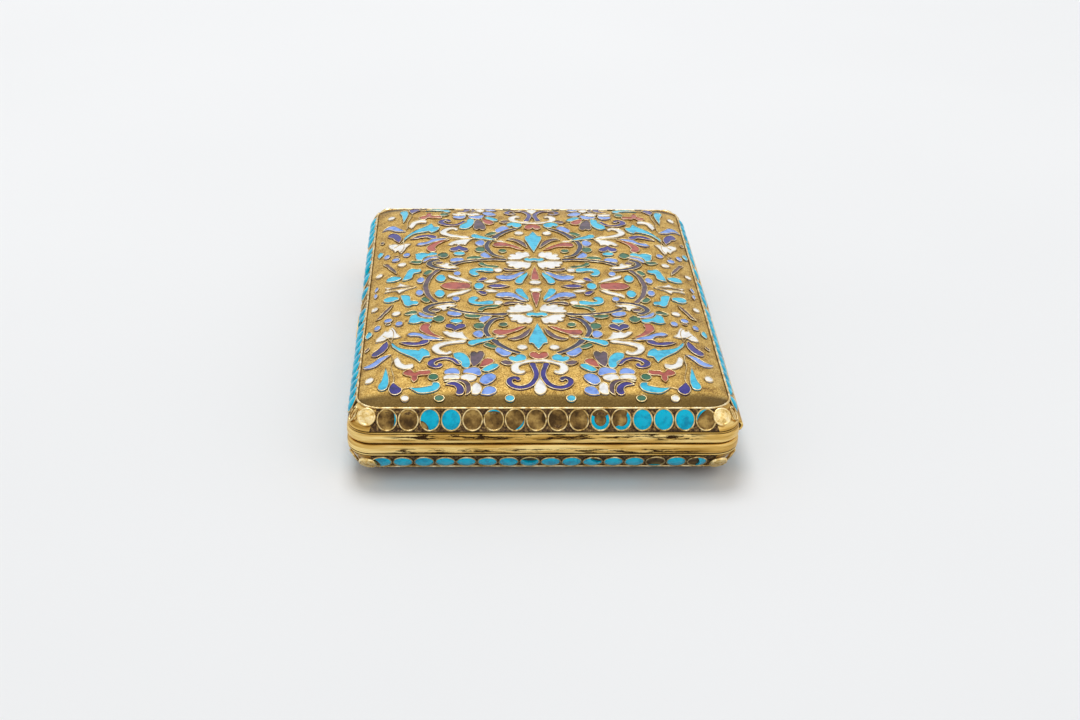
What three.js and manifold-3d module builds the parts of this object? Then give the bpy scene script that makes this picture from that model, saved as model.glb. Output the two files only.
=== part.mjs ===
// Cloisonne cigarette case of silver-gilt, in book form, with its hinge along the right long side.
// Millimetres, +Z up, +Y along the hinge. The case lies shut on its flat underside, with the
// middle of its plan at the origin. Lid and base are the same pressed half, one turned over.

import * as THREE from "three";
import { mergeVertices } from "three/addons/utils/BufferGeometryUtils.js";
import Module from "manifold-3d";

const wasm = await Module();
wasm.setup();

// Enamelled panel, inside the border wire
const panelHalfWidth = 37.6;
const panelHalfLength = 52.0;
const panelCornerRadius = 2.6;

// Cushion shape of the panel: a soft shoulder at its edge and a broad crown inside
const shoulderRise = 0.6;
const shoulderInset = 4.0;
const crownRise = 2.0;
const crownInset = 16.0;
const cornerGrowth = 0.9;

// Sloping bead border round the panel, and the plain band below it
const sideBeadRun = 2.0;
const endBeadRun = 3.0;
const beadDrop = 3.9;
const bandHeight = 2.8;
const bandDepth = 1.3;

// Sheet metal and the clearances between pieces
const sheet = 0.8;
const solderGap = 0.15;
const seamGap = 0.15;
const runningGap = 0.3;

// Border wire, in the crease between panel and bead border
const wireRadius = 0.3;

// Half-round moulding of the band, with a fine fillet next to the beads
const mouldingBulge = 0.3;
const mouldingRoundHeight = 1.85;
const filletBulge = 0.1;
const mouldingShoulder = 0.75;

// Rows of oval enamel beads on a gilt strip
const endBeadPitch = 4.35;
const sideBeadPitch = 3.8;
const beadStripThickness = 0.35;
const beadStripMargin = 0.2;
const beadDomeHeight = 0.35;
const beadFill = 0.9;
const beadCrown = 0.7;
const endRowMargin = 0.2;
const sideRowMargin = 0.6;

// Gilt disc on each corner, turned a little towards the long side
const cornerDiscRadius = 1.75;
const cornerDiscThickness = 0.45;
const cornerDiscDome = 0.2;
const cornerDiscTurn = THREE.MathUtils.degToRad(24);

// Hinge
const hingeFromPanelEnd = 4.5;
const knuckleCount = 7;
const knuckleRadius = 1.3;
const knuckleBoreRadius = 0.8;
const knuckleOut = 0.35;
const pinRadius = 0.5;
const hingeEndRoom = 1.6;
const webHeight = 1.0;

// Lip of the base that the lid shuts over, on three sides
const lipThickness = 0.6;
const lipAbove = 1.5;
const lipHingeRoom = 3.6;

// Catch in the middle of the left long side
const thumbLength = 11.4;
const thumbHeight = 2.2;
const thumbProud = 0.7;
const thumbThickness = 1.2;
const thumbEdge = 0.3;
const thumbDrop = 1.4;
const catchTravel = 0.6;
const stemLength = 6.0;
const stemHeight = 1.0;
const rivetRadius = 0.45;
const rivetHeadRadius = 0.9;
const rivetHeadThickness = 0.4;
const leafLength = 34.0;
const leafHeight = 2.4;
const leafThickness = 0.4;
const leafBow = 0.3;
const leafFromLip = 1.1;
const hookThickness = 0.5;
const hookLength = 6.0;
const hookRise = 2.2;
const noseHeight = 0.8;
const keeperLength = 9.0;
const keeperHeight = 0.6;
const keeperLead = 0.3;
const stapleLength = 3.0;
const stapleSheet = 0.4;
const stapleFromLeafEnd = 1.5;

// Scrollwork on the lid: places in shares of the panel's half width and half length
const scrollWidth = 0.7;
const scrollHeight = 0.3;
const ringFullness = 2.8;
const ringSteps = 24;
const bulbFootStep = 5;
const sideCurlStep = 1;
const curlClosing = 0.62;
const scrollShares = {
  ring: [0.66, 0.273],
  bulbSwell: [0.335, 0.33],
  bulbSide: [0.305, 0.455],
  bulbNeck: [0.28, 0.58],
  bulbTip: [0, 0.685],
  bracketWaist: [0.02, 0.72],
  bracketTop: [0.045, 0.86],
  bracketCurl: { reach: [0.077, 0.056], from: 180, turn: -275 },
  stemBend: [0.5, 0.54],
  stemTip: [0.75, 0.46],
  leafCurl: { reach: [0.098, 0.071], from: -115, turn: 245 },
  branchBend: [0.63, 0.7],
  branchTip: [0.79, 0.75],
  cornerCurl: { reach: [0.098, 0.071], from: -35, turn: 250 },
  sideCurl: { reach: [0.101, 0.073], from: 205, turn: -250 },
};

// Elastic band across each tray, held at both ends in a bracket
const bandWebWidth = 7.0;
const bandWebThickness = 0.7;
const bracketWidth = 9.0;
const bracketDepth = 2.2;
const baseBandHeight = -2.0;
const lidBandHeight = 2.9;

// Facets
const cornerSteps = 5;
const wireSides = 5;
const tubeSides = 16;
const beadSides = 8;
const discSides = 10;

// Worked out from the sizes above
const hingeHalfLength = panelHalfLength - hingeFromPanelEnd;
const borderHeight = bandHeight + beadDrop;
const seamHeight = borderHeight + shoulderRise + crownRise;
const hingeOut = panelHalfWidth + sideBeadRun + knuckleOut;
const hingeReach = hingeOut + knuckleRadius;
const catchReach = panelHalfWidth + sideBeadRun + mouldingBulge + thumbProud;
const halfTurn = Math.PI;
const quarterTurn = Math.PI / 2;

// Finishes
const gilt = { color: 0xc9a55a, roughness: 0.32, metalness: 1.0 };
const brightGilt = { color: 0xd8b56a, roughness: 0.2, metalness: 1.0 };
const dullGilt = { color: 0xb08d48, roughness: 0.45, metalness: 1.0 };
const enamel = { color: 0x12a0cc, roughness: 0.25, metalness: 0.0 };
const steel = { color: 0x9a9a98, roughness: 0.35, metalness: 1.0 };
const elastic = { color: 0xc8b48a, roughness: 0.9, metalness: 0.0 };

function mesh(name, geometry, finish) {
  const made = new THREE.Mesh(geometry, new THREE.MeshStandardMaterial(finish));
  made.name = name;
  return made;
}

// Booleans

function toSolid(geometry) {
  const plain = new THREE.BufferGeometry();
  plain.setAttribute("position", geometry.getAttribute("position").clone());
  if (geometry.index) plain.setIndex(geometry.index.clone());
  const merged = mergeVertices(plain, 1e-4);
  return new wasm.Manifold(
    new wasm.Mesh({
      numProp: 3,
      vertProperties: merged.getAttribute("position").array,
      triVerts: new Uint32Array(merged.index.array),
    }),
  );
}

function toGeometry(solid) {
  const { numProp, numVert, vertProperties, triVerts } = solid.getMesh();
  const positions = new Float32Array(numVert * 3);
  for (let i = 0; i < numVert; i++) {
    positions.set(vertProperties.subarray(i * numProp, i * numProp + 3), i * 3);
  }
  const geometry = new THREE.BufferGeometry();
  geometry.setAttribute("position", new THREE.BufferAttribute(positions, 3));
  geometry.setIndex(new THREE.BufferAttribute(new Uint32Array(triVerts), 1));
  geometry.computeVertexNormals();
  return geometry;
}

function cut(geometry, ...tools) {
  let solid = toSolid(geometry);
  for (const tool of tools) solid = solid.subtract(toSolid(tool));
  return toGeometry(solid);
}

function join(geometry, ...others) {
  let solid = toSolid(geometry);
  for (const other of others) solid = solid.add(toSolid(other));
  return toGeometry(solid);
}

// Shapes

function block(lowX, highX, lowY, highY, lowZ, highZ) {
  return new THREE.BoxGeometry(highX - lowX, highY - lowY, highZ - lowZ).translate(
    (lowX + highX) / 2,
    (lowY + highY) / 2,
    (lowZ + highZ) / 2,
  );
}

function shapeOf(points) {
  return new THREE.Shape(points.map(([x, y]) => new THREE.Vector2(x, y)));
}

// A profile in Y and Z, drawn out along X and centred on it
function drawnAlongX(points, length) {
  return new THREE.ExtrudeGeometry(shapeOf(points), { depth: length, bevelEnabled: false })
    .rotateX(quarterTurn)
    .rotateZ(quarterTurn)
    .translate(-length / 2, 0, 0);
}

// A round bar along Y, from one place to another
function barAlongY(radius, from, to, sides = tubeSides) {
  return new THREE.CylinderGeometry(radius, radius, to - from, sides).translate(
    0,
    (from + to) / 2,
    0,
  );
}

// Rounded rectangle round the case, seen from above and anticlockwise
function loop(outX, outY, z, radius) {
  const reachX = panelHalfWidth + outX - radius;
  const reachY = panelHalfLength + outY - radius;
  const points = [];
  const corners = [
    [reachX, reachY],
    [-reachX, reachY],
    [-reachX, -reachY],
    [reachX, -reachY],
  ];
  corners.forEach(([x, y], corner) => {
    for (let step = 0; step <= cornerSteps; step++) {
      const angle = (corner + step / cornerSteps) * quarterTurn;
      points.push(
        new THREE.Vector3(x + radius * Math.cos(angle), y + radius * Math.sin(angle), z),
      );
    }
  });
  return points;
}

// A loop of the bead border or the band: share 0 is the border wire, share 1 the foot of the beads
function borderLoop(share, further, z) {
  const outX = share * sideBeadRun + further;
  const outY = share * endBeadRun + further;
  return loop(outX, outY, z, panelCornerRadius + (outX + outY) / 2);
}

// A loop of the cushion, with rounder corners further in
function cushionLoop(inset, z) {
  return loop(-inset, -inset, z, panelCornerRadius + cornerGrowth * inset);
}

function cushionRise(inset) {
  const shoulder = 1 - Math.min(inset / shoulderInset, 1);
  const crown = 1 - Math.min(inset / crownInset, 1);
  return shoulderRise * (1 - shoulder * shoulder) + crownRise * (1 - crown * crown);
}

// A closed surface through loops of equally many points; a ring's last loop meets its first
function skin(loops, ring = false) {
  const count = loops[0].length;
  const points = loops.flat();
  const faces = [];
  const spans = ring ? loops.length : loops.length - 1;
  for (let i = 0; i < spans; i++) {
    const next = (i + 1) % loops.length;
    for (let k = 0; k < count; k++) {
      const along = (k + 1) % count;
      faces.push(i * count + k, i * count + along, next * count + along);
      faces.push(i * count + k, next * count + along, next * count + k);
    }
  }
  if (!ring) {
    const last = (loops.length - 1) * count;
    for (let k = 1; k + 1 < count; k++) {
      faces.push(0, k + 1, k);
      faces.push(last, last + k, last + k + 1);
    }
  }
  const geometry = new THREE.BufferGeometry().setFromPoints(points);
  geometry.setIndex(faces);
  geometry.computeVertexNormals();
  return geometry;
}

// Half of the case, with Z up from the seam

const wallOut = -bandDepth;
const wallIn = wallOut - sheet;
const wallDepth = bandHeight + 2 * sheet;
const outerInsets = [0, 1.2, 2.6, shoulderInset, 6.5, 9.5, 12.5, crownInset];
const innerInsets = [sheet, 2.8, 6, 10.5, crownInset];
const innerLag = 0.55;

function shell() {
  const inner = innerInsets.map((inset) =>
    cushionLoop(inset, borderHeight + cushionRise(inset - innerLag) - sheet),
  );
  const outer = outerInsets.map((inset) => cushionLoop(inset, borderHeight + cushionRise(inset)));
  return skin([
    ...inner.reverse(),
    borderLoop(1, wallIn, wallDepth),
    borderLoop(1, wallIn, seamGap),
    borderLoop(1, wallOut, seamGap),
    borderLoop(1, wallOut, bandHeight),
    borderLoop(1, 0, bandHeight),
    ...outer,
  ]);
}

// The channel that the hinge knuckles lie in, open to the right
function hingeChannel() {
  const half = hingeHalfLength + hingeEndRoom;
  const inside = panelHalfWidth + sideBeadRun + wallOut;
  const height = knuckleRadius + runningGap;
  return block(inside, hingeReach + 1, -half, half, -1, height);
}

function moulding() {
  const arc = (low, high, bulge, steps) => {
    const points = [];
    const middle = (low + high) / 2;
    for (let i = 0; i <= steps; i++) {
      const angle = -quarterTurn + (halfTurn * i) / steps;
      const out = -mouldingShoulder + (mouldingShoulder + bulge) * Math.cos(angle);
      points.push([out, middle + ((high - low) / 2) * Math.sin(angle)]);
    }
    return points;
  };
  const top = bandHeight - solderGap;
  const round = seamGap + mouldingRoundHeight;
  const back = wallOut + solderGap;
  const section = [
    [back, top],
    [back, seamGap],
    ...arc(seamGap, round, mouldingBulge, 5),
    ...arc(round, top, filletBulge, 3).slice(1),
  ];
  return skin(
    section.map(([further, z]) => borderLoop(1, further, z)),
    true,
  );
}

function borderWire() {
  const points = [];
  for (let i = 0; i < wireSides; i++) {
    const angle = (i / wireSides) * 2 * halfTurn;
    points.push([wireRadius * Math.cos(angle), wireRadius * Math.sin(angle)]);
  }
  const seatOut = wireRadius + solderGap;
  const seatUp = borderHeight + wireRadius / 2;
  return skin(
    points.map(([out, up]) => borderLoop(0, seatOut + out, seatUp + up)),
    true,
  );
}

// Rows of beads: X along the row, Y up the slope, Z out of it, from the middle of the slope
function beadRow(halfLength, pitch, run) {
  const count = Math.max(1, Math.round((2 * halfLength) / pitch));
  const step = (2 * halfLength) / count;
  const slope = Math.hypot(run, beadDrop);
  const foot = -slope / 2 + beadStripMargin;
  const head = slope / 2 - 2 * wireRadius - solderGap;
  const low = solderGap;
  const high = low + beadStripThickness;
  const oval = (share, z) => {
    const points = [];
    for (let i = 0; i < beadSides; i++) {
      const angle = ((i + 0.5) / beadSides) * 2 * halfTurn;
      const x = (step / 2) * beadFill * share * Math.cos(angle);
      const y = (foot + head + (head - foot) * beadFill * share * Math.sin(angle)) / 2;
      points.push(new THREE.Vector3(x, y, z));
    }
    return points;
  };
  const bead = skin([oval(1, (low + high) / 2), oval(beadCrown, high + beadDomeHeight)]);
  const beads = [];
  for (let i = 0; i < count; i++) {
    beads.push(bead.clone().translate((i + 0.5) * step - halfLength, 0, 0));
  }
  return join(block(-halfLength, halfLength, foot, head, low, high), ...beads);
}

function cornerDisc() {
  const profile = [
    [0, 0],
    [cornerDiscRadius, 0],
    [cornerDiscRadius, cornerDiscThickness * 0.7],
    [cornerDiscRadius * 0.86, cornerDiscThickness],
    [cornerDiscRadius * 0.5, cornerDiscThickness + cornerDiscDome * 0.75],
    [0, cornerDiscThickness + cornerDiscDome],
  ];
  return new THREE.LatheGeometry(
    profile.map(([r, y]) => new THREE.Vector2(r, y)),
    discSides,
  ).rotateX(quarterTurn);
}

// A turned group whose own -Y looks out of one side of the case; turns count from the front
function facing(turns, out = 0) {
  const group = new THREE.Group();
  group.rotation.z = turns * quarterTurn;
  const half = turns % 2 === 0 ? panelHalfLength : panelHalfWidth;
  group.position.set(0, -half - out, 0).applyAxisAngle(new THREE.Vector3(0, 0, 1), turns * quarterTurn);
  return group;
}

function addBeadRows(half, body, sides) {
  sides.forEach((side, turns) => {
    const end = turns % 2 === 0;
    const run = end ? endBeadRun : sideBeadRun;
    const corner = panelCornerRadius;
    const halfLength = end
      ? panelHalfWidth - corner - endRowMargin
      : panelHalfLength - corner - sideRowMargin;
    const row = mesh(
      `${body}_${side}_bead_row`,
      beadRow(halfLength, end ? endBeadPitch : sideBeadPitch, run),
      enamel,
    );
    row.position.z = bandHeight + beadDrop / 2;
    row.rotation.x = Math.atan2(beadDrop, run);
    const frame = facing(turns, run / 2);
    frame.add(row);
    half.add(frame);
  });
}

function addCornerDiscs(half, body, corners) {
  const radius = panelCornerRadius + (sideBeadRun + endBeadRun) / 4;
  const centreX = panelHalfWidth + sideBeadRun / 2 - radius;
  const centreY = panelHalfLength + endBeadRun / 2 - radius;
  const tilt = Math.atan2(beadDrop, endBeadRun);
  corners.forEach(([name, signX, signY]) => {
    const disc = mesh(`${body}_corner_disc_${name}`, cornerDisc(), brightGilt);
    disc.position.set(0, -radius, 0);
    disc.rotation.x = tilt;
    disc.translateZ(solderGap);
    const turn = new THREE.Group();
    turn.position.set(signX * centreX, signY * centreY, bandHeight + beadDrop / 2);
    turn.rotation.z = signY < 0 ? signX * cornerDiscTurn : halfTurn - signX * cornerDiscTurn;
    turn.add(disc);
    half.add(turn);
  });
}

// Lid and base, each a group that stands at the seam; the base is the same half turned over
const stemWindow = (gap) => {
  const x = stemLength / 2 + gap;
  const z = stemHeight / 2 + gap;
  const wall = facing(3, sideBeadRun + wallIn);
  wall.updateMatrix();
  return block(-x, x, -sheet - 1, 1, thumbDrop - z, thumbDrop + z).applyMatrix4(wall.matrix);
};

const thumbGap = () => {
  const x = thumbLength / 2 + runningGap;
  const wall = facing(3, sideBeadRun);
  wall.updateMatrix();
  return block(-x, x, -2 * bandDepth, 2 * bandDepth, -1, bandHeight + 1).applyMatrix4(wall.matrix);
};

const lid = new THREE.Group();
lid.position.z = seamHeight;
lid.add(mesh("lid_shell", shell(), gilt));
lid.add(mesh("lid_rim_moulding", cut(moulding(), hingeChannel()), brightGilt));
lid.add(mesh("lid_border_wire", borderWire(), brightGilt));
addBeadRows(lid, "lid", ["front", "hinge_side", "back", "catch_side"]);
addCornerDiscs(lid, "lid", [
  ["front_left", -1, -1],
  ["front_right", 1, -1],
  ["back_left", -1, 1],
  ["back_right", 1, 1],
]);

const base = new THREE.Group();
base.position.z = seamHeight;
base.rotation.x = halfTurn;
base.add(mesh("base_shell", cut(shell(), stemWindow(runningGap)), gilt));
base.add(mesh("base_rim_moulding", cut(moulding(), hingeChannel(), thumbGap()), brightGilt));
base.add(mesh("base_border_wire", borderWire(), brightGilt));
addBeadRows(base, "base", ["back", "hinge_side", "front", "catch_side"]);
addCornerDiscs(base, "base", [
  ["back_left", -1, -1],
  ["back_right", 1, -1],
  ["front_left", -1, 1],
  ["front_right", 1, 1],
]);

// Pieces inside and between the halves, with Z up from the seam
const inside = new THREE.Group();
inside.position.z = seamHeight;

// Lip: a strip along front, left and back, notched for the catch
function closingLip() {
  const out = wallIn - runningGap;
  const foot = runningGap - wallDepth;
  const frame = skin(
    [
      [out - lipThickness, lipAbove],
      [out - lipThickness, foot],
      [out, foot],
      [out, lipAbove],
    ].map(([further, z]) => borderLoop(1, further, z)),
    true,
  );
  const openFrom = panelHalfWidth + sideBeadRun + wallIn - lipHingeRoom;
  const far = 2 * panelHalfLength;
  const hingeSide = block(openFrom, far, -far, far, -far, far);
  const notchHalf = thumbLength / 2 + runningGap;
  const notchFloor = -thumbDrop - stemHeight / 2 - 2 * runningGap;
  const left = panelHalfWidth + sideBeadRun + wallIn;
  const notch = block(-left - 1, -left + 3, -notchHalf, notchHalf, notchFloor, far);
  return cut(frame, hingeSide, notch);
}
inside.add(mesh("base_closing_lip", closingLip(), dullGilt));

// Hinge: knuckles in turn on base and lid, each with a web to its own half's wall
function knuckle(length, webSide) {
  const tube = new THREE.LatheGeometry(
    [
      [knuckleBoreRadius, -length / 2],
      [knuckleRadius, -length / 2],
      [knuckleRadius, length / 2],
      [knuckleBoreRadius, length / 2],
      [knuckleBoreRadius, -length / 2],
    ].map(([r, y]) => new THREE.Vector2(r, y)),
    tubeSides,
  );
  const wall = -(knuckleOut + bandDepth) + solderGap;
  const nearBore = -(knuckleBoreRadius + knuckleRadius) / 2;
  const low = webSide > 0 ? seamGap : -webHeight;
  const high = webSide > 0 ? webHeight : -seamGap;
  return join(tube, block(wall, nearBore, -length / 2, length / 2, low, high));
}

const hinge = new THREE.Group();
hinge.position.x = hingeOut;
const knuckleStep = (2 * hingeHalfLength + runningGap) / knuckleCount;
for (let i = 0; i < knuckleCount; i++) {
  const onLid = i % 2 === 1;
  const number = Math.floor(i / 2) + 1;
  const piece = mesh(
    `${onLid ? "lid" : "base"}_hinge_knuckle_${number}`,
    knuckle(knuckleStep - runningGap, onLid ? 1 : -1),
    brightGilt,
  );
  piece.position.y = -hingeHalfLength + (i + 0.5) * knuckleStep - runningGap / 2;
  hinge.add(piece);
}
hinge.add(mesh("hinge_pin", barAlongY(pinRadius, -hingeHalfLength, hingeHalfLength), steel));
inside.add(hinge);

// Catch, in a frame whose Y is 0 on the wall's inner face and points into the tray
const lipInner = runningGap + lipThickness;
const leafOuter = lipInner + leafFromLip;
const hookOuter = leafOuter + leafThickness + runningGap;
const hookInner = hookOuter + hookThickness;
const rivetHead = hookInner + runningGap;
const bandFace = -sheet - bandDepth - mouldingBulge;
const thumbFace = bandFace - thumbProud;

function thumbPiece() {
  const x = thumbLength / 2 - thumbHeight / 2;
  const outline = new THREE.Shape();
  outline.absarc(x, 0, thumbHeight / 2, -quarterTurn, quarterTurn, false);
  outline.absarc(-x, 0, thumbHeight / 2, quarterTurn, 3 * quarterTurn, false);
  const button = new THREE.ExtrudeGeometry(outline, {
    depth: thumbThickness - 2 * thumbEdge,
    bevelThickness: thumbEdge,
    bevelSize: thumbEdge,
    bevelOffset: -thumbEdge,
    bevelSegments: 2,
    curveSegments: 6,
  })
    .rotateX(quarterTurn)
    .translate(0, thumbFace + thumbThickness - thumbEdge, 0);
  const x2 = stemLength / 2;
  const z2 = stemHeight / 2;
  const stem = block(-x2, x2, thumbFace + thumbThickness / 2, leafOuter - runningGap, -z2, z2);
  const shank = barAlongY(rivetRadius, 0, rivetHead + rivetHeadThickness / 2);
  const head = barAlongY(rivetHeadRadius, rivetHead, rivetHead + rivetHeadThickness);
  return join(button, stem, shank, head);
}

const rivetHole = () => barAlongY(rivetRadius + runningGap, -1, rivetHead + 2);

// Leaf spring: bowed so that its middle stands out against the stem
function leafSpring() {
  const half = leafLength / 2;
  const strip = new THREE.Shape();
  strip.moveTo(-half, leafOuter + leafBow);
  strip.quadraticCurveTo(0, leafOuter - leafBow, half, leafOuter + leafBow);
  strip.lineTo(half, leafOuter + leafBow + leafThickness);
  strip.quadraticCurveTo(0, leafOuter - leafBow + leafThickness, -half, leafOuter + leafBow + leafThickness);
  const leaf = new THREE.ExtrudeGeometry(strip, {
    depth: leafHeight,
    bevelEnabled: false,
    curveSegments: 8,
  }).translate(0, 0, -leafHeight / 2);
  return cut(leaf, rivetHole());
}

// Hook: a plate behind the leaf whose nose reaches out over the keeper
function latchHook() {
  const top = thumbDrop + hookRise;
  const foot = -leafHeight / 2;
  const noseFoot = top - noseHeight;
  const hook = drawnAlongX(
    [
      [hookOuter, foot],
      [hookInner, foot],
      [hookInner, top],
      [leafOuter + noseHeight / 2, top],
      [leafOuter, noseFoot + noseHeight / 3],
      [leafOuter, noseFoot],
      [hookOuter, noseFoot],
    ],
    hookLength,
  );
  return cut(hook, rivetHole());
}

// A bracket with a slot that opens into the tray, from its wall face inwards
function slotBracket(from, depth, slot, thickness, length) {
  const half = slot / 2;
  return drawnAlongX(
    [
      [from, -half - thickness],
      [from + depth, -half - thickness],
      [from + depth, -half],
      [from + thickness, -half],
      [from + thickness, half],
      [from + depth, half],
      [from + depth, half + thickness],
      [from, half + thickness],
    ],
    length,
  );
}

// A staple whose slot opens to the wall, round one end of the leaf
function leafStaple() {
  const nearLip = lipInner + runningGap;
  const leafInner = leafOuter + leafBow + leafThickness;
  const farEnd = leafInner + catchTravel + runningGap + stapleSheet;
  const slot = leafHeight + 2 * runningGap;
  return slotBracket(-farEnd, farEnd - nearLip, slot, stapleSheet, stapleLength).rotateZ(halfTurn);
}

const catchFrame = facing(3, sideBeadRun + wallIn);
const catchLevel = new THREE.Group();
catchLevel.position.z = -thumbDrop;
catchLevel.add(mesh("thumb_piece", thumbPiece(), brightGilt));
catchLevel.add(mesh("catch_leaf_spring", leafSpring(), steel));
catchLevel.add(mesh("latch_hook", latchHook(), dullGilt));
[-1, 1].forEach((side) => {
  // The frame's +X points to the front of the case
  const staple = mesh(`leaf_staple_${side > 0 ? "front" : "back"}`, leafStaple(), dullGilt);
  staple.position.x = side * (leafLength / 2 - stapleFromLeafEnd);
  catchLevel.add(staple);
});
catchFrame.add(catchLevel);

// Keeper on the lid's wall, under the nose and in the lip's notch
function keeper() {
  const top = hookRise - noseHeight - runningGap;
  const reach = leafOuter - runningGap;
  return drawnAlongX(
    [
      [runningGap, top - keeperHeight],
      [reach - keeperLead, top - keeperHeight],
      [reach, top - keeperHeight + keeperLead],
      [reach, top],
      [runningGap, top],
    ],
    keeperLength,
  );
}
catchFrame.add(mesh("lid_keeper", keeper(), dullGilt));
inside.add(catchFrame);

// Scrollwork of flat wires on the lid's crown, the same in all four quarters
function insetAt(x, y) {
  let low = 0;
  let high = crownInset;
  for (let i = 0; i < 16; i++) {
    const inset = (low + high) / 2;
    const radius = panelCornerRadius + cornerGrowth * inset;
    const overX = Math.abs(x) - (panelHalfWidth - inset - radius);
    const overY = Math.abs(y) - (panelHalfLength - inset - radius);
    const corner = overX > 0 && overY > 0;
    const reach = corner ? Math.hypot(overX, overY) : Math.max(overX, overY);
    if (reach <= radius) low = inset;
    else high = inset;
  }
  return low;
}

function flatWire(path, closed = false) {
  const count = path.length;
  const loops = path.map((point, i) => {
    const before = closed ? path[(i + count - 1) % count] : path[Math.max(i - 1, 0)];
    const after = closed ? path[(i + 1) % count] : path[Math.min(i + 1, count - 1)];
    const along = after.clone().sub(before).setLength(scrollWidth / 2);
    const corner = (side, up) => {
      const x = point.x - side * along.y;
      const y = point.y + side * along.x;
      const ground = borderHeight + cushionRise(insetAt(x, y)) + solderGap;
      return new THREE.Vector3(x, y, ground + up * scrollHeight);
    };
    return [corner(-1, 0), corner(1, 0), corner(1, 1), corner(-1, 1)];
  });
  return skin(loops, closed);
}

function scrollwork() {
  const places = scrollShares;
  const bend = (from, control, to, steps) => {
    const [start, middle, end] = [from, control, to].map(([u, v]) => new THREE.Vector2(u, v));
    return new THREE.QuadraticBezierCurve(start, middle, end).getPoints(steps).map(({ x, y }) => [x, y]);
  };
  const curl = ([startU, startV], { reach, from, turn }, steps) => {
    const spokes = [];
    for (let i = 0; i <= steps; i++) {
      const angle = THREE.MathUtils.degToRad(from + (turn * i) / steps);
      const left = 1 - (curlClosing * i) / steps;
      spokes.push([reach[0] * left * Math.cos(angle), reach[1] * left * Math.sin(angle)]);
    }
    return spokes.map(([u, v]) => [startU + u - spokes[0][0], startV + v - spokes[0][1]]);
  };
  const ring = [];
  for (let i = 0; i < ringSteps; i++) {
    const angle = (i / ringSteps) * 2 * halfTurn;
    const fuller = (value) => Math.sign(value) * Math.abs(value) ** (2 / ringFullness);
    ring.push([places.ring[0] * fuller(Math.cos(angle)), places.ring[1] * fuller(Math.sin(angle))]);
  }
  const bulb = [
    ...bend(ring[bulbFootStep], places.bulbSwell, places.bulbSide, 4),
    ...bend(places.bulbSide, places.bulbNeck, places.bulbTip, 5).slice(1),
  ];
  const bracket = bend(bulb.at(-2), places.bracketWaist, places.bracketTop, 3);
  const stem = bend(places.bulbSide, places.stemBend, places.stemTip, 3);
  const leaf = curl(stem[1], places.leafCurl, 6);
  const branch = bend(leaf[2], places.branchBend, places.branchTip, 3);
  const quarter = [
    bulb,
    [...bracket, ...curl(places.bracketTop, places.bracketCurl, 6).slice(1)],
    stem,
    leaf,
    [...branch, ...curl(places.branchTip, places.cornerCurl, 5).slice(1)],
    curl(ring[sideCurlStep], places.sideCurl, 4),
  ];
  const wires = [];
  [
    [1, 1],
    [-1, 1],
    [-1, -1],
    [1, -1],
  ].forEach(([signX, signY]) => {
    const onPanel = ([u, v]) =>
      new THREE.Vector2(signX * u * panelHalfWidth, signY * v * panelHalfLength);
    quarter.forEach((path) => wires.push(flatWire(path.map(onPanel))));
  });
  const aroundMiddle = ring.map(([u, v]) => new THREE.Vector2(u * panelHalfWidth, v * panelHalfLength));
  return join(flatWire(aroundMiddle, true), ...wires);
}
lid.add(mesh("lid_wirework", scrollwork(), brightGilt));

// Elastic bands, with a bracket on each end wall
function addElasticBand(body, height, standoff) {
  const slot = bandWebThickness + 2 * runningGap;
  const innerWall = endBeadRun + wallIn;
  ["front", "back"].forEach((end, i) => {
    const frame = facing(2 * i, innerWall);
    const bracket = mesh(
      `${body}_band_bracket_${end}`,
      slotBracket(standoff, bracketDepth, slot, stapleSheet, bracketWidth),
      dullGilt,
    );
    bracket.position.z = height;
    frame.add(bracket);
    inside.add(frame);
  });
  const half = panelHalfLength + innerWall - standoff - stapleSheet - runningGap;
  const x = bandWebWidth / 2;
  const z = bandWebThickness / 2;
  inside.add(
    mesh(`${body}_elastic_band`, block(-x, x, -half, half, height - z, height + z), elastic),
  );
}
addElasticBand("base", baseBandHeight, lipInner + runningGap);
addElasticBand("lid", lidBandHeight, runningGap);

// The whole case, moved so that the middle of its plan is at the origin
const cigaretteCase = new THREE.Group();
cigaretteCase.position.x = (catchReach - hingeReach) / 2;
cigaretteCase.add(lid, base, inside);

export default cigaretteCase;
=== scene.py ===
import random
from math import atan2, copysign, cos, hypot, pi, radians, sin

import bmesh
import bpy
import numpy as np
from mathutils import Matrix, Vector


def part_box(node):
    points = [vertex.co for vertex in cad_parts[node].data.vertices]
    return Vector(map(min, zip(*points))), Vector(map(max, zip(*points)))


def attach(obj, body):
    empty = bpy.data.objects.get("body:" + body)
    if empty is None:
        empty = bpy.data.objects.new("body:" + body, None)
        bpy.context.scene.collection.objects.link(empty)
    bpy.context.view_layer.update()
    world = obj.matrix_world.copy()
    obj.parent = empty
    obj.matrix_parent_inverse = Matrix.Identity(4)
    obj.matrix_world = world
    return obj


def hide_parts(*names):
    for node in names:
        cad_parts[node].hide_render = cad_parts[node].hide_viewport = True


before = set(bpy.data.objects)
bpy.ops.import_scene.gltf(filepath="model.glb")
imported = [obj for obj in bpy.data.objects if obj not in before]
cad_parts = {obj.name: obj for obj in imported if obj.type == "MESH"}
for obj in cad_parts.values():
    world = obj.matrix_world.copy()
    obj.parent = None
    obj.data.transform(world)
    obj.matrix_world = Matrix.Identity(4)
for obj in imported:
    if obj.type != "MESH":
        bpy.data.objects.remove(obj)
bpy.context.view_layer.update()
scene = bpy.context.scene
scene.view_settings.view_transform = "Standard"

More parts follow.
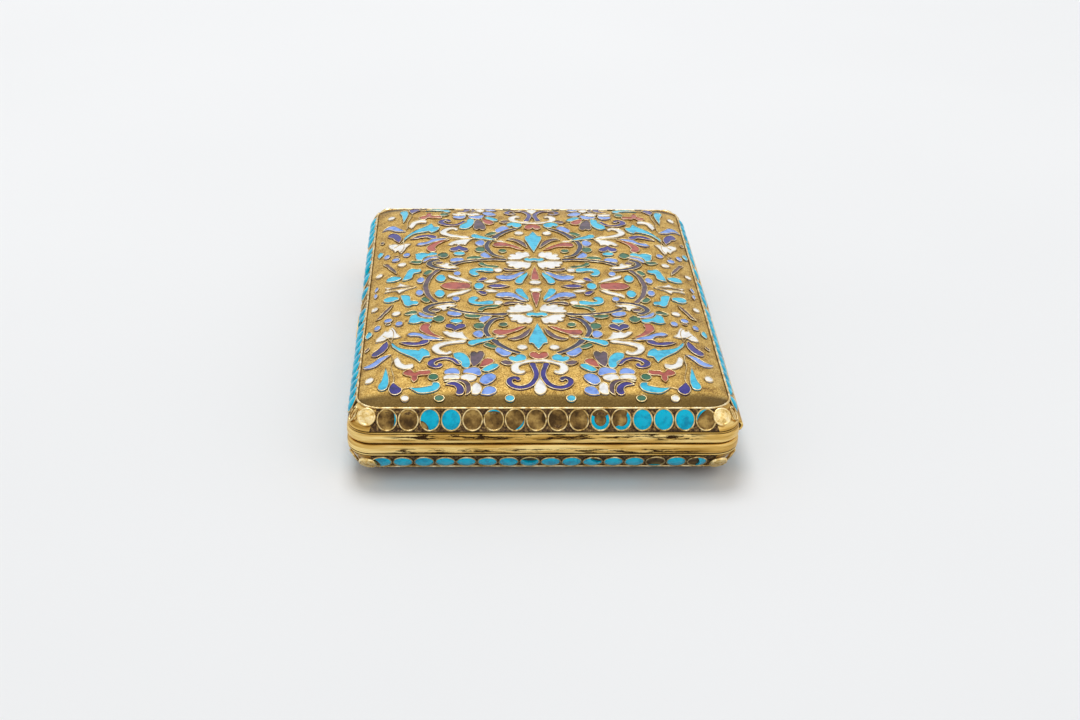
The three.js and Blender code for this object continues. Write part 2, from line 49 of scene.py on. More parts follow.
# Sizes in millimetres, in one half of the case with Z up from the seam
MM = 0.001
PANEL_X = 37.6
PANEL_Y = 52.0
PANEL_RADIUS = 2.6
PANEL_ROUNDING = 4.6
CORNER_GROWTH = 0.8
SHOULDER_RISE = 0.6
SHOULDER_INSET = 4.0
CROWN_RISE = 2.0
CROWN_INSET = 16.0
SIDE_RUN = 2.0
END_RUN = 3.0
BEAD_DROP = 3.9
BAND_HEIGHT = 2.8
BORDER_HEIGHT = 6.7
SEAM_HEIGHT = 9.3
PLAN_SHIFT = -0.325
WALL_OUT = -1.3
WALL_IN = -2.1
WALL_DEPTH = 4.4
SHEET = 0.8
GAP = 0.15
GROUND_SINK = {"lid": 0.0, "base": 0.34}
SINK_RUN = 0.3
WIRE_UP = 0.23
ENAMEL_UP = 0.17
ENAMEL_DEPTH = 0.14
WIRE_THICK = 0.095
CORNER_SEGMENTS = 12

# The lid lies over the seam, and the base is the same half turned over
LID_PLACE = Matrix.Scale(MM, 4) @ Matrix.Translation((PLAN_SHIFT, 0, SEAM_HEIGHT))
HALF = {"lid": LID_PLACE, "base": LID_PLACE @ Matrix.Rotation(pi, 4, "X")}


def linked(name, data):
    """A new object in the scene."""
    made = bpy.data.objects.new(name, data)
    scene.collection.objects.link(made)
    return made


# ---- camera

camera_data = bpy.data.cameras.new("camera")
camera_data.lens = 56.53
camera_data.sensor_width = 36
camera_data.clip_start = 0.01
camera = linked("camera", camera_data)
camera.location = (-0.017041, -0.349851, 0.180369)
camera.rotation_euler = [radians(a) for a in (62.7373, -1.2677, -2.3213)]
scene.camera = camera


# ---- finishes


class Nodes:
    """Tools that add shader nodes to a tree."""

    def __init__(self, tree):
        self.tree = tree

    def add(self, kind, wires=(), **settings):
        """A node with its settings, and with its inputs set or linked."""
        node = self.tree.nodes.new(kind)
        for key, value in settings.items():
            setattr(node, key, value)
        for key, value in dict(wires).items():
            self.put(node.inputs[key], value)
        return node

    def put(self, socket, value):
        if isinstance(value, bpy.types.NodeSocket):
            self.tree.links.new(value, socket)
        else:
            socket.default_value = (*value, 1) if socket.type == "RGBA" else value

    def reckon(self, how, first, second=0.0):
        return self.add("ShaderNodeMath", {0: first, 1: second}, operation=how).outputs[0]

    def times(self, first, second):
        return self.reckon("MULTIPLY", first, second)


class Finish(Nodes):
    """A material whose pattern lies on the piece's own coordinates."""

    def __init__(self, name, rough=0.4, metal=0.0):
        self.material = bpy.data.materials.new(name)
        self.material.use_nodes = True
        super().__init__(self.material.node_tree)
        self.shader = self.tree.nodes["Principled BSDF"]
        self.wear(rough=rough, metal=metal)
        self.place = self.add("ShaderNodeTexCoord").outputs["Object"]

    def stretched(self, scale):
        wires = {"Vector": self.place, "Scale": scale}
        return self.add("ShaderNodeMapping", wires).outputs["Vector"]

    def noise(self, size, detail, rough, where=None):
        """Soft mottle whose blots are about `size` millimetres across."""
        wires = {"Scale": 1 / (size * MM), "Detail": detail, "Roughness": rough}
        wires["Vector"] = where or self.place
        return self.add("ShaderNodeTexNoise", wires).outputs["Fac"]

    def dents(self, size, feature="F1"):
        """The distance from the nearest of many points, about `size` millimetres apart."""
        wires = {"Vector": self.place, "Scale": 1 / (size * MM)}
        return self.add("ShaderNodeTexVoronoi", wires, feature=feature).outputs["Distance"]

    def ramp(self, value, *stops):
        """A colour or a tone for each value, between stops of (value, colour or tone)."""
        node = self.add("ShaderNodeValToRGB")
        band = node.color_ramp
        for _ in range(len(stops) - 2):
            band.elements.new(0.5)
        for stop, (at, colour) in zip(band.elements, stops):
            stop.position = at
            if not isinstance(colour, tuple):
                colour = (colour,) * 3
            stop.color = (*colour, 1)
        self.put(node.inputs["Fac"], value)
        return node.outputs["Color"]

    def blend(self, share, first, second):
        """A mix of two colours, which are inputs 6 and 7 and output 2 of a mix node."""
        wires = {"Factor": share, 6: first, 7: second}
        return self.add("ShaderNodeMix", wires, data_type="RGBA").outputs[2]

    def by_distance(self, axis, level, reach, *stops):
        """A tone by the distance from a level along an axis, either way, all in millimetres."""
        place = self.add("ShaderNodeSeparateXYZ", {0: self.place})
        along = self.reckon("SUBTRACT", place.outputs[axis], level * MM)
        away = self.reckon("ABSOLUTE", self.times(along, 1 / MM))
        return self.ramp(self.times(away, 1 / reach), *[(at / reach, tone) for at, tone in stops])

    def shaded_in_corners(self, colour, dirt_and_shade, reach, deep, clear, alone=True):
        """Painted shade in corners `reach` millimetres wide, from ambient occlusion: all up to `deep`, none
        from `clear` on.
        """
        wires = {"Distance": reach * MM}
        node = self.add("ShaderNodeAmbientOcclusion", wires, samples=8, only_local=alone)
        return self.blend(self.ramp(node.outputs["AO"], (deep, 0.0), (clear, 1.0)), dirt_and_shade, colour)

    def relief(self, height, depth, strength, over=None):
        wires = {"Height": height, "Distance": depth * MM, "Strength": strength}
        if over:
            wires["Normal"] = over
        return self.add("ShaderNodeBump", wires).outputs["Normal"]

    def wear(self, colour=None, rough=None, normal=None, metal=None):
        """Give the shader its patterns and values; what is left out stays."""
        inputs = {"Base Color": colour, "Roughness": rough, "Normal": normal, "Metallic": metal}
        for name, value in inputs.items():
            if value is not None:
                self.put(self.shader.inputs[name], value)
        return self.material


def stippled_gilt():
    """Matted gold with dark tarnish in its grain, painted shade against the cells, and painted shade on its
    low strip at both ends.
    """
    f = Finish("stippled_gilt", metal=0.75)
    grain = f.noise(0.3, 4, 0.75)
    blot = f.noise(3.0, 3, 0.6)
    tone = f.reckon("ADD", f.times(grain, 0.7), f.times(blot, 0.3))
    gold = f.ramp(
        tone,
        (0.38, (0.12, 0.052, 0.008)),
        (0.46, (0.39, 0.226, 0.042)),
        (0.54, (0.61, 0.395, 0.094)),
        (0.66, (0.84, 0.63, 0.245)),
    )
    # Painted shade: the low strip of ground beside the border wire is darkened at both ends
    border = f.by_distance("Z", SEAM_HEIGHT, 10, (7.4, 0.95), (7.9, 0.82), (8.25, 0.2), (8.5, 0))
    ends = f.by_distance("Y", 0, 50, (47.5, 0), (49.25, 1))
    gold = f.blend(f.times(border, ends), gold, (0.095, 0.053, 0.006))
    # Painted shade: the ground darkens against the cells and wires, by ambient occlusion
    colour = f.shaded_in_corners(gold, (0.055, 0.026, 0.009), 0.8, 0.42, 0.8, alone=False)
    rough = f.ramp(grain, (0.35, 0.62), (0.65, 0.44))
    punch = f.relief(f.dents(0.42, "SMOOTH_F1"), 0.06, 0.7)
    return f.wear(colour, rough, f.relief(grain, 0.09, 0.8, punch))


def wire_gilt():
    """The cell wires and the rope round the border, rubbed bright on top."""
    f = Finish("wire_gilt", rough=0.36, metal=1.0)
    rub = f.noise(1.6, 3, 0.6)
    colour = f.ramp(
        rub, (0.36, (0.42, 0.26, 0.08)), (0.5, (0.72, 0.54, 0.25)), (0.66, (0.92, 0.8, 0.52))
    )
    twist = f.noise(0.22, 2, 0.5)
    return f.wear(colour, None, f.relief(twist, 0.05, 0.6))


def band_gilt():
    """Polished gold band, streaked lighter and darker along it in painted sheen, with broken dark streaks
    of painted reflection on the moulding tops.
    """
    f = Finish("band_gilt", metal=1.0)
    sheen = f.noise(1.6, 4, 0.6, f.stretched((0.1, 0.1, 1.6)))
    streak = f.noise(0.62, 5, 0.72, f.stretched((0.16, 0.16, 1.5)))
    # Painted sheen: the gold turns lighter and darker in long streaks along the band
    gold = f.ramp(
        sheen, (0.34, (0.4, 0.215, 0.038)), (0.48, (0.7, 0.44, 0.115)), (0.62, (0.95, 0.72, 0.29))
    )
    # Painted reflection: broken dark streaks along the moulding tops, on the straight runs only
    dark_reflection_mask = f.ramp(streak, (0.47, 1), (0.5, 0))
    line = f.by_distance("Z", SEAM_HEIGHT, 5, (0.7, 0), (1.2, 1), (2.15, 1), (2.4, 0))
    across = f.by_distance("X", 0, 50, (29, 1), (33, 0))
    along = f.by_distance("Y", 0, 50, (45, 1), (48, 0))
    straight = f.reckon("MAXIMUM", across, along)
    painted_reflection = f.times(f.times(dark_reflection_mask, line), straight)
    colour = f.blend(painted_reflection, gold, (0.04, 0.02, 0.008))
    # Painted shade in the band's grooves and corners, by ambient occlusion
    colour = f.shaded_in_corners(colour, (0.07, 0.035, 0.014), 0.5, 0.3, 0.7)
    rough = f.ramp(sheen, (0.35, 0.44), (0.65, 0.34))
    return f.wear(colour, rough, f.relief(streak, 0.04, 0.4))


def inner_gilt():
    """Brushed gilding of the inside."""
    f = Finish("inner_gilt", metal=1.0)
    brushed = f.noise(1.1, 4, 0.6, f.stretched((8.0, 0.3, 1.0)))
    blot = f.noise(9.0, 3, 0.5)
    colour = f.ramp(blot, (0.35, (0.62, 0.43, 0.17)), (0.62, (0.84, 0.66, 0.34)))
    rough = f.ramp(brushed, (0.35, 0.34), (0.65, 0.22))
    return f.wear(colour, rough, f.relief(brushed, 0.02, 0.4))


def dark_seat():
    """The strip that the beads sit on, nearly black in its grain."""
    f = Finish("near_black_seat", metal=0.7)
    grain = f.noise(0.5, 4, 0.7)
    colour = f.ramp(
        grain, (0.4, (0.03, 0.014, 0.006)), (0.54, (0.12, 0.062, 0.02)), (0.68, (0.42, 0.27, 0.09))
    )
    return f.wear(colour, f.ramp(grain, (0.3, 0.6), (0.7, 0.4)), f.relief(grain, 0.08, 0.7))


def bare_cup():
    """The gilt floor that shows where a bead has lost its enamel."""
    f = Finish("bare_cup", metal=0.8)
    blot = f.noise(2.6, 3, 0.55)
    grain = f.noise(0.35, 3, 0.6)
    gold = f.ramp(
        blot, (0.36, (0.06, 0.03, 0.007)), (0.5, (0.19, 0.105, 0.026)), (0.64, (0.4, 0.25, 0.07))
    )
    dirt_and_shade = f.ramp(grain, (0.3, 0.55), (0.5, 1))
    colour = f.blend(dirt_and_shade, (0.05, 0.026, 0.008), gold)
    # Painted shadow of the ring round the bare floor's edge, by ambient occlusion
    colour = f.shaded_in_corners(colour, (0.06, 0.03, 0.01), 0.7, 0.35, 0.8)
    return f.wear(colour, f.ramp(blot, (0.3, 0.5), (0.7, 0.34)), f.relief(grain, 0.05, 0.6))


def ring_gilt():
    """The oval wire round each bead."""
    f = Finish("ring_gilt", rough=0.33, metal=1.0)
    rub = f.noise(1.1, 4, 0.6)
    colour = f.ramp(
        rub, (0.34, (0.26, 0.14, 0.035)), (0.46, (0.56, 0.38, 0.13)), (0.62, (0.84, 0.66, 0.34))
    )
    # Painted shade where the ring meets the seat and the rings beside it
    colour = f.shaded_in_corners(colour, (0.08, 0.04, 0.015), 0.5, 0.3, 0.8)
    return f.wear(colour, None, f.relief(rub, 0.05, 0.4))


def disc_gilt():
    """The corner discs, rubbed bright."""
    f = Finish("disc_gilt", rough=0.3, metal=1.0)
    rub = f.noise(0.9, 4, 0.6)
    colour = f.ramp(
        rub, (0.34, (0.55, 0.34, 0.09)), (0.46, (0.86, 0.62, 0.24)), (0.6, (0.98, 0.8, 0.44))
    )
    # Painted shade in the disc's groove round its rim, by ambient occlusion
    colour = f.shaded_in_corners(colour, (0.12, 0.06, 0.02), 0.4, 0.3, 0.8)
    return f.wear(colour, f.ramp(rub, (0.35, 0.4), (0.65, 0.24)), f.relief(rub, 0.1, 0.6))


def enamel(name, deep, fair, rough=0.3, gloss=0.18):
    """Fired glass: cloudy colour, a few pinholes, and painted shade in a darker line along the wires."""
    f = Finish(name + "_enamel", rough=rough)
    cloud = f.noise(1.8, 3, 0.6)
    colour = f.ramp(cloud, (0.34, deep), (0.52, fair))
    pits = f.ramp(f.dents(0.9), (0.03, 0), (0.07, 1))
    pitted_and_shaded = f.blend(pits, tuple(c * 0.3 for c in deep), colour)
    # Painted shade: the enamel darkens in a thin line against the wires, by ambient occlusion
    pitted_and_shaded = f.shaded_in_corners(pitted_and_shaded, tuple(c * 0.5 for c in deep), 0.12, 0.2, 0.7)
    slant = f.add("ShaderNodeLayerWeight", {"Blend": 0.5}).outputs["Facing"]
    f.put(f.shader.inputs["Specular IOR Level"], f.ramp(slant, (0.35, gloss), (0.85, 1)))
    return f.wear(pitted_and_shaded, None, f.relief(cloud, 0.05, 0.5, f.relief(pits, 0.03, 0.5)))


def steel_finish():
    f = Finish("spring_steel", metal=1.0)
    brushed = f.noise(0.6, 4, 0.6, f.stretched((6.0, 0.4, 1.0)))
    colour = f.ramp(brushed, (0.35, (0.3, 0.29, 0.28)), (0.65, (0.6, 0.59, 0.57)))
    return f.wear(colour, f.ramp(brushed, (0.3, 0.45), (0.7, 0.28)), f.relief(brushed, 0.01, 0.4))


def web_finish():
    """Elastic web: ribs along it, crossed by the shots of the weave."""
    f = Finish("elastic_web", rough=0.85)
    weave = []
    for direction, size in (("X", 0.5), ("Y", 0.32)):
        wires = {"Vector": f.place, "Scale": 0.314 / (size * MM), "Distortion": 0.4}
        wave = f.add("ShaderNodeTexWave", wires, bands_direction=direction)
        weave.append(wave.outputs["Fac"])
    crossed = f.times(*weave)
    cloud = f.noise(4.0, 3, 0.6)
    base = f.ramp(cloud, (0.35, (0.4, 0.29, 0.13)), (0.65, (0.62, 0.48, 0.26)))
    colour = f.blend(f.ramp(crossed, (0.0, 0.35), (0.6, 1)), (0.16, 0.1, 0.04), base)
    f.put(f.shader.inputs["Sheen Weight"], 0.3)
    return f.wear(colour, None, f.relief(crossed, 0.08, 0.8))


def floor_finish():
    f = Finish("pale_floor", rough=0.9)
    cloud = f.noise(180.0, 2, 0.5)
    return f.wear(f.ramp(cloud, (0.3, (0.83, 0.84, 0.85)), (0.7, (0.85, 0.86, 0.87))))


ENAMELS = {
    "turquoise": enamel("turquoise", (0.01, 0.36, 0.58), (0.045, 0.56, 0.8)),
    "periwinkle": enamel("periwinkle", (0.1, 0.22, 0.62), (0.22, 0.38, 0.86)),
    "cobalt": enamel("cobalt", (0.01, 0.008, 0.1), (0.035, 0.026, 0.26)),
    "navy": enamel("night_blue", (0.006, 0.007, 0.022), (0.022, 0.024, 0.085)),
    "plum": enamel("plum", (0.03, 0.018, 0.026), (0.11, 0.06, 0.09)),
    "red": enamel("coral_red", (0.24, 0.03, 0.02), (0.46, 0.085, 0.055)),
    "green": enamel("leaf_green", (0.004, 0.045, 0.02), (0.018, 0.15, 0.075)),
    "white": enamel("white", (0.72, 0.72, 0.7), (0.9, 0.9, 0.88)),
}
BEAD_ENAMEL = enamel("bead", (0.0, 0.29, 0.47), (0.001, 0.5, 0.72), 0.2, 0.16)
GROUND = stippled_gilt()
WIRE = wire_gilt()
BAND = band_gilt()
INNER = inner_gilt()
SEAT = dark_seat()
CUP = bare_cup()
RING = ring_gilt()
DISC = disc_gilt()
STEEL = steel_finish()
WEB = web_finish()


# ---- making meshes


def as_mesh(bm, name="work"):
    mesh = bpy.data.meshes.new(name)
    bm.to_mesh(mesh)
    bm.free()
    return mesh


def keep(name, bm, body, *materials, **details):
    """Turn the bmesh into a finished piece that rides on a body."""
    keep_mesh(name, as_mesh(bm, name), body, *materials, **details)


def keep_mesh(name, mesh, body, *materials, standing_for=(), slot=None, angle=35):
    """Turn the mesh into a finished piece, smooth but for folds sharper than `angle`."""
    mesh.name = name
    for material in materials:
        mesh.materials.append(material)
    mesh.polygons.foreach_set("use_smooth", [True] * len(mesh.polygons))
    mesh.set_sharp_from_angle(angle=radians(angle))
    piece = linked(name, mesh)
    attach(piece, body)
    if standing_for:
        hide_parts(*standing_for)


def keep_half(half, name, stands_for, bm, *materials, **details):
    """Keep a piece of one half, made with Z up from the seam."""
    bm.transform(HALF[half])
    keep(f"{half}_{name}", bm, half, *materials, standing_for=[f"{half}_{stands_for}"], **details)


def moved(x, y, z):
    return Matrix.Translation((x, y, z))


def resize(bm, *factors):
    bmesh.ops.scale(bm, verts=bm.verts, vec=factors)


def shift(bm, *way):
    bmesh.ops.translate(bm, verts=bm.verts, vec=way)


def join(bm, reach):
    bmesh.ops.remove_doubles(bm, verts=bm.verts, dist=reach)


def turn_outwards(bm):
    bmesh.ops.recalc_face_normals(bm, faces=bm.faces)


def rounded_loop(bm, half_x, half_y, radius, z):
    """A rounded rectangle's edges, with no face."""
    known = set(bm.edges)
    made = bmesh.ops.create_grid(bm, x_segments=1, y_segments=1, size=1)["verts"]
    bmesh.ops.scale(bm, verts=made, vec=(half_x, half_y, 1))
    bmesh.ops.translate(bm, verts=made, vec=(0, 0, z))
    bmesh.ops.bevel(
        bm, geom=made, offset=radius, offset_type="OFFSET", segments=CORNER_SEGMENTS,
        profile=0.5, affect="VERTICES", clamp_overlap=False, material=-1,
    )
    edges = [e for e in bm.edges if e not in known]
    faces = {f for e in edges for f in e.link_faces}
    bmesh.ops.delete(bm, geom=list(faces), context="FACES_ONLY")
    return edges


def border_loop(share, further):
    """A loop down the sloping border: 0 at its top and 1 at its foot, and so far out from there."""
    foot_radius = PANEL_RADIUS + (SIDE_RUN + END_RUN) / 2
    radius = PANEL_ROUNDING + share * (foot_radius - PANEL_ROUNDING) + further
    return PANEL_X + (share * SIDE_RUN + further), PANEL_Y + (share * END_RUN + further), radius


def cushion_loop(inset):
    """A loop on the panel, so far in from the border wire."""
    return PANEL_X - inset, PANEL_Y - inset, PANEL_ROUNDING + CORNER_GROWTH * inset


def cushion_rise(inset):
    """How far the panel has risen there."""
    shoulder = 1 - np.minimum(inset / SHOULDER_INSET, 1)
    crown = 1 - np.minimum(inset / CROWN_INSET, 1)
    return SHOULDER_RISE * (1 - shoulder**2) + CROWN_RISE * (1 - crown**2)


def inset_at(x, y):
    """How far in from the border wire a point of the panel lies."""
    x, y = np.abs(x), np.abs(y)
    low, high = np.zeros_like(x), np.full_like(x, CROWN_INSET + 1)
    for _ in range(24):
        middle = (low + high) / 2
        half_x, half_y, radius = cushion_loop(middle)
        dx, dy = x - half_x + radius, y - half_y + radius
        away = np.where((dx > 0) & (dy > 0), np.hypot(dx, dy), np.maximum(dx, dy)) - radius
        low, high = np.where(away <= 0, middle, low), np.where(away <= 0, high, middle)
    return low


def ground_height(half, x, y):
    """The panel's ground; the base's lies deeper, so that its wires touch the table."""
    inset = inset_at(x, y)
    return BORDER_HEIGHT + cushion_rise(inset) - GROUND_SINK[half] * np.minimum(inset / SINK_RUN, 1)


def reshaped(point, old, new):
    """A point of one rounded rectangle moved to the same spot of another."""
    moved = []
    for axis in (0, 1):
        centre = old[axis] - old[2]
        share = (abs(point[axis]) - centre) / old[2]
        moved.append(copysign(new[axis] - new[2] + new[2] * share, point[axis]))
    return (*moved, new[3])


def loft(bm, sections, ring=False, materials=None, cap=()):
    """A skin through rounded rectangles given as (half x, half y, radius, z)."""
    edges = rounded_loop(bm, *sections[0])
    ends = {0: edges}
    steps = list(zip(sections, sections[1:])) + ([(sections[-1], sections[0])] if ring else [])
    for number, (old, new) in enumerate(steps):
        made = bmesh.ops.extrude_edge_only(bm, edges=edges)["geom"]
        corners = {g for g in made if isinstance(g, bmesh.types.BMVert)}
        edges = [g for g in made if isinstance(g, bmesh.types.BMEdge) and set(g.verts) <= corners]
        for v in corners:
            v.co = reshaped(v.co, old, new)
        for v in corners:
            for face in v.link_faces:
                face.material_index = materials[number] if materials else 0
    ends[-1] = edges
    for end in cap:
        for face in bmesh.ops.contextual_create(bm, geom=ends[end])["faces"]:
            face.material_index = materials[end] if materials else 0
    if ring:
        join(bm, 1e-4)
    turn_outwards(bm)


def box_mesh(low, high):
    """A box between two corners."""
    bm = bmesh.new()
    bmesh.ops.create_cube(bm, size=1)
    resize(bm, *[b - a for a, b in zip(low, high)])
    shift(bm, *[(a + b) / 2 for a, b in zip(low, high)])
    return bm


def evaluated(made):
    bpy.context.view_layer.update()
    return bpy.data.meshes.new_from_object(made.evaluated_get(bpy.context.evaluated_depsgraph_get()))


def cut(bm, *tools):
    """The body less some boxes, as a bmesh again."""
    made = linked("work", as_mesh(bm))
    others = [linked("work", as_mesh(box_mesh(*tool))) for tool in tools]
    for other in others:
        step = made.modifiers.new("cut", "BOOLEAN")
        step.operation = "DIFFERENCE"
        step.solver = "EXACT"
        step.object = other
    result = bmesh.new()
    result.from_mesh(evaluated(made))
    for used in [made, *others]:
        bpy.data.objects.remove(used, do_unlink=True)
    join(result, 1e-5)
    return result


def spun(profile, steps):
    """A profile of (radius, height) points turned round Z, closed at its own ends."""
    bm = bmesh.new()
    verts = [bm.verts.new((r, 0, z)) for r, z in profile]
    edges = [bm.edges.new(pair) for pair in zip(verts, verts[1:])]
    bmesh.ops.spin(
        bm, geom=verts + edges, cent=(0, 0, 0), axis=(0, 0, 1), angle=2 * pi,
        steps=steps, use_merge=True,
    )
    join(bm, 1e-5)
    turn_outwards(bm)
    return bm


def add_copy(target, source, matrix, material):
    """Add a small bmesh to a bigger one, at a place of its own."""
    mesh = bpy.data.meshes.new("part")
    source.to_mesh(mesh)
    mesh.transform(matrix)
    known = len(target.faces)
    target.from_mesh(mesh)
    target.faces.ensure_lookup_table()
    for face in target.faces[known:]:
        face.material_index = material
    bpy.data.meshes.remove(mesh)


def facing(turns, out):
    """The place of a border row, so far out from the panel's edge; turn 0 is at -Y."""
    half = PANEL_Y if turns % 2 == 0 else PANEL_X
    return Matrix.Rotation(turns * pi / 2, 4, "Z") @ moved(0, -half - out, 0)


# ---- shells, mouldings and border wires

# How far in from the border wire the tray's loops lie
OUTER_INSETS = [0, SINK_RUN, 0.8, 1.4, 2, 2.7, 3.4, 4, 5, 6.2, 7.5, 8.8, 10.2, 11.7, 13.2, 14.6, 16]
INNER_INSETS = [0.8, 1.5, 2.3, 3.2, 4.2, 5.5, 7, 8.5, 10.5, 13, 16]
INNER_SHIFT = 0.55

# Boxes that are cut out, from corner to corner
OUTSIDE = 45
BEHIND_WALL = 36
STEM_LEVEL = 1.4
STEM_ROOM = 0.8
HINGE_HALF = 47.5
HINGE_ROOM = 1.6
STEM_HOLE = ((-OUTSIDE, -3.3, STEM_LEVEL - STEM_ROOM), (-BEHIND_WALL, 3.3, STEM_LEVEL + STEM_ROOM))
THUMB_GAP = ((-OUTSIDE, -6, -1), (-BEHIND_WALL, 6, BAND_HEIGHT + 1))
HINGE_CHANNEL = ((38.3, -HINGE_HALF - HINGE_ROOM, -1), (OUTSIDE, HINGE_HALF + HINGE_ROOM, HINGE_ROOM))

# The moulding and the fine fillet over it: foot, top, bulge and steps
MOULDING_STRIPS = ((GAP, 2.28, 0.27, 14), (2.32, BAND_HEIGHT - GAP, 0.12, 6))
MOULDING_DEPTH = 0.75
SQUARENESS = 0.45

# Past these the rows of beads end and the bare corners begin
ROW_END_X = 34.2
ROW_END_Y = 48.0
ON_GROUND, ON_INNER, ON_SEAT, ON_BAND = range(4)


def shell(half):
    """One pressed sheet: the inside of the tray, the wall's foot, the slope and the cushion."""
    bm = bmesh.new()
    inner = [
        (*cushion_loop(i), BORDER_HEIGHT + float(cushion_rise(i - INNER_SHIFT)) - SHEET)
        for i in INNER_INSETS
    ]
    walls = [
        (*border_loop(1, WALL_IN), WALL_DEPTH),
        (*border_loop(1, WALL_IN), GAP),
        (*border_loop(1, WALL_OUT), GAP),
        (*border_loop(1, WALL_OUT), BAND_HEIGHT),
        (*border_loop(1, 0), BAND_HEIGHT),
    ]
    outer = [
        (
            *cushion_loop(i),
            BORDER_HEIGHT + float(cushion_rise(i)) - GROUND_SINK[half] * min(i / SINK_RUN, 1),
        )
        for i in OUTER_INSETS
    ]
    sections = inner[::-1] + walls + outer
    materials = [ON_INNER] * (len(inner) + 1) + [ON_SEAT] * 4 + [ON_GROUND] * (len(outer) + 1)
    loft(bm, sections, materials=materials, cap=(0, -1))
    for face in bm.faces:
        middle = face.calc_center_median()
        at_corner = abs(middle.x) > ROW_END_X and abs(middle.y) > ROW_END_Y
        if face.material_index == ON_SEAT and at_corner:
            face.material_index = ON_BAND
    return bm


for half in HALF:
    bm = shell(half)
    if half == "base":
        bm = cut(bm, STEM_HOLE)
    keep_half(half, "tray", "shell", bm, GROUND, INNER, SEAT, BAND, slot="gilt_ground", angle=40)


def moulding():
    """The moulding and its fillet in one ring, nearly square in section."""
    bm = bmesh.new()
    section = [(WALL_OUT + GAP, BAND_HEIGHT - GAP), (WALL_OUT + GAP, GAP)]
    for low, high, bulge, steps in MOULDING_STRIPS:
        for i in range(steps + 1):
            angle = pi * (i / steps - 0.5)
            side, up = cos(angle), sin(angle)
            out = -MOULDING_DEPTH + (MOULDING_DEPTH + bulge) * max(side, 0) ** SQUARENESS
            rise = (high - low) / 2 * copysign(abs(up) ** SQUARENESS, up)
            section.append((out, (low + high) / 2 + rise))
    loft(bm, [(*border_loop(1, out), z) for out, z in section], ring=True)
    return bm


for half in HALF:
    gaps = [HINGE_CHANNEL, THUMB_GAP] if half == "base" else [HINGE_CHANNEL]
    keep_half(half, "band", "rim_moulding", cut(moulding(), *gaps), BAND, slot="bright_gilt", angle=50)


ROPE_OUT = 0.3
ROPE_UP = 0.02
ROPE_THICK = 0.21
ROPE_SIDES = 10


def border_rope():
    """The fine wire between the cushion and the beads."""
    bm = bmesh.new()
    ring = []
    for i in range(ROPE_SIDES):
        angle = 2 * pi * i / ROPE_SIDES
        out = ROPE_OUT + ROPE_THICK * cos(angle)
        ring.append((*border_loop(0, out), BORDER_HEIGHT + ROPE_UP + ROPE_THICK * sin(angle)))
    loft(bm, ring, ring=True)
    return bm


for half in HALF:
    keep_half(half, "border_rope", "border_wire", border_rope(), WIRE, slot="gilt_wire", angle=80)


# ---- bead border

# A row at an end or at a side: its length short of the panel's half, and the bead pitch
ROW_SHORT = {"end": 3.45, "side": 3.2}
PITCH = {"end": 4.35, "side": 3.8}
ROW_SHIFT = {"lid": 0.4, "base": 0.8}
ROW_FOOT = 0.03
ROW_HEAD = 0.17
SEAT_LOW = 0.02
SEAT_HIGH = 0.13
BEAD_SHARE = 0.497
BEAD_UP = 0.24
BEAD_SKIRT = 0.12
RING_THICK = 0.16
CUP_DOWN = 0.11
CUP_PROFILE = [(0, 0.02), (0.7, 0.03), (0.95, 0.1), (1, 0.14), (1, 0), (0, 0)]
FRONT_RISE = 0.42
OTHER_RISE = 0.7
CHIP_LEAN = 0.35
IN_CUP, IN_RING, IN_ENAMEL, IN_SEAT = range(4)
RING_SIDES = 8
RING_STEPS = 28

# Of the rows that the photo hides, so many beads are bare, and so many bare or chipped
BARE_SHARE = 0.12
WORN_SHARE = 0.24

# The beads over the thumb-piece are bare; they lie so many beads before the row's middle
THUMB_BEADS = 0.9

# A bead is the part of a ball above this level, brought to one unit in radius and height
BALL_LEVEL = 0.45
BALL_RADIUS = 0.893
BALL_HEIGHT = 0.55


def oval_ring(half_x, half_y, thick):
    """A round wire bent into an oval."""
    bm = bmesh.new()
    loops = []
    for i in range(RING_SIDES):
        angle = 2 * pi * i / RING_SIDES
        known = set(bm.edges)
        made = bmesh.ops.create_circle(bm, segments=RING_STEPS, radius=1)["verts"]
        out = thick * cos(angle)
        bmesh.ops.scale(bm, verts=made, vec=(half_x + out, half_y + out, 1))
        bmesh.ops.translate(bm, verts=made, vec=(0, 0, thick * sin(angle)))
        loops.append([e for e in bm.edges if e not in known])
    for first, second in zip(loops, loops[1:] + loops[:1]):
        bmesh.ops.bridge_loops(bm, edges=first + second)
    turn_outwards(bm)
    return bm


def slice_off(bm, point, outwards, **side):
    geometry = bm.verts[:] + bm.edges[:] + bm.faces[:]
    bmesh.ops.bisect_plane(bm, geom=geometry, plane_co=point, plane_no=outwards, **side)


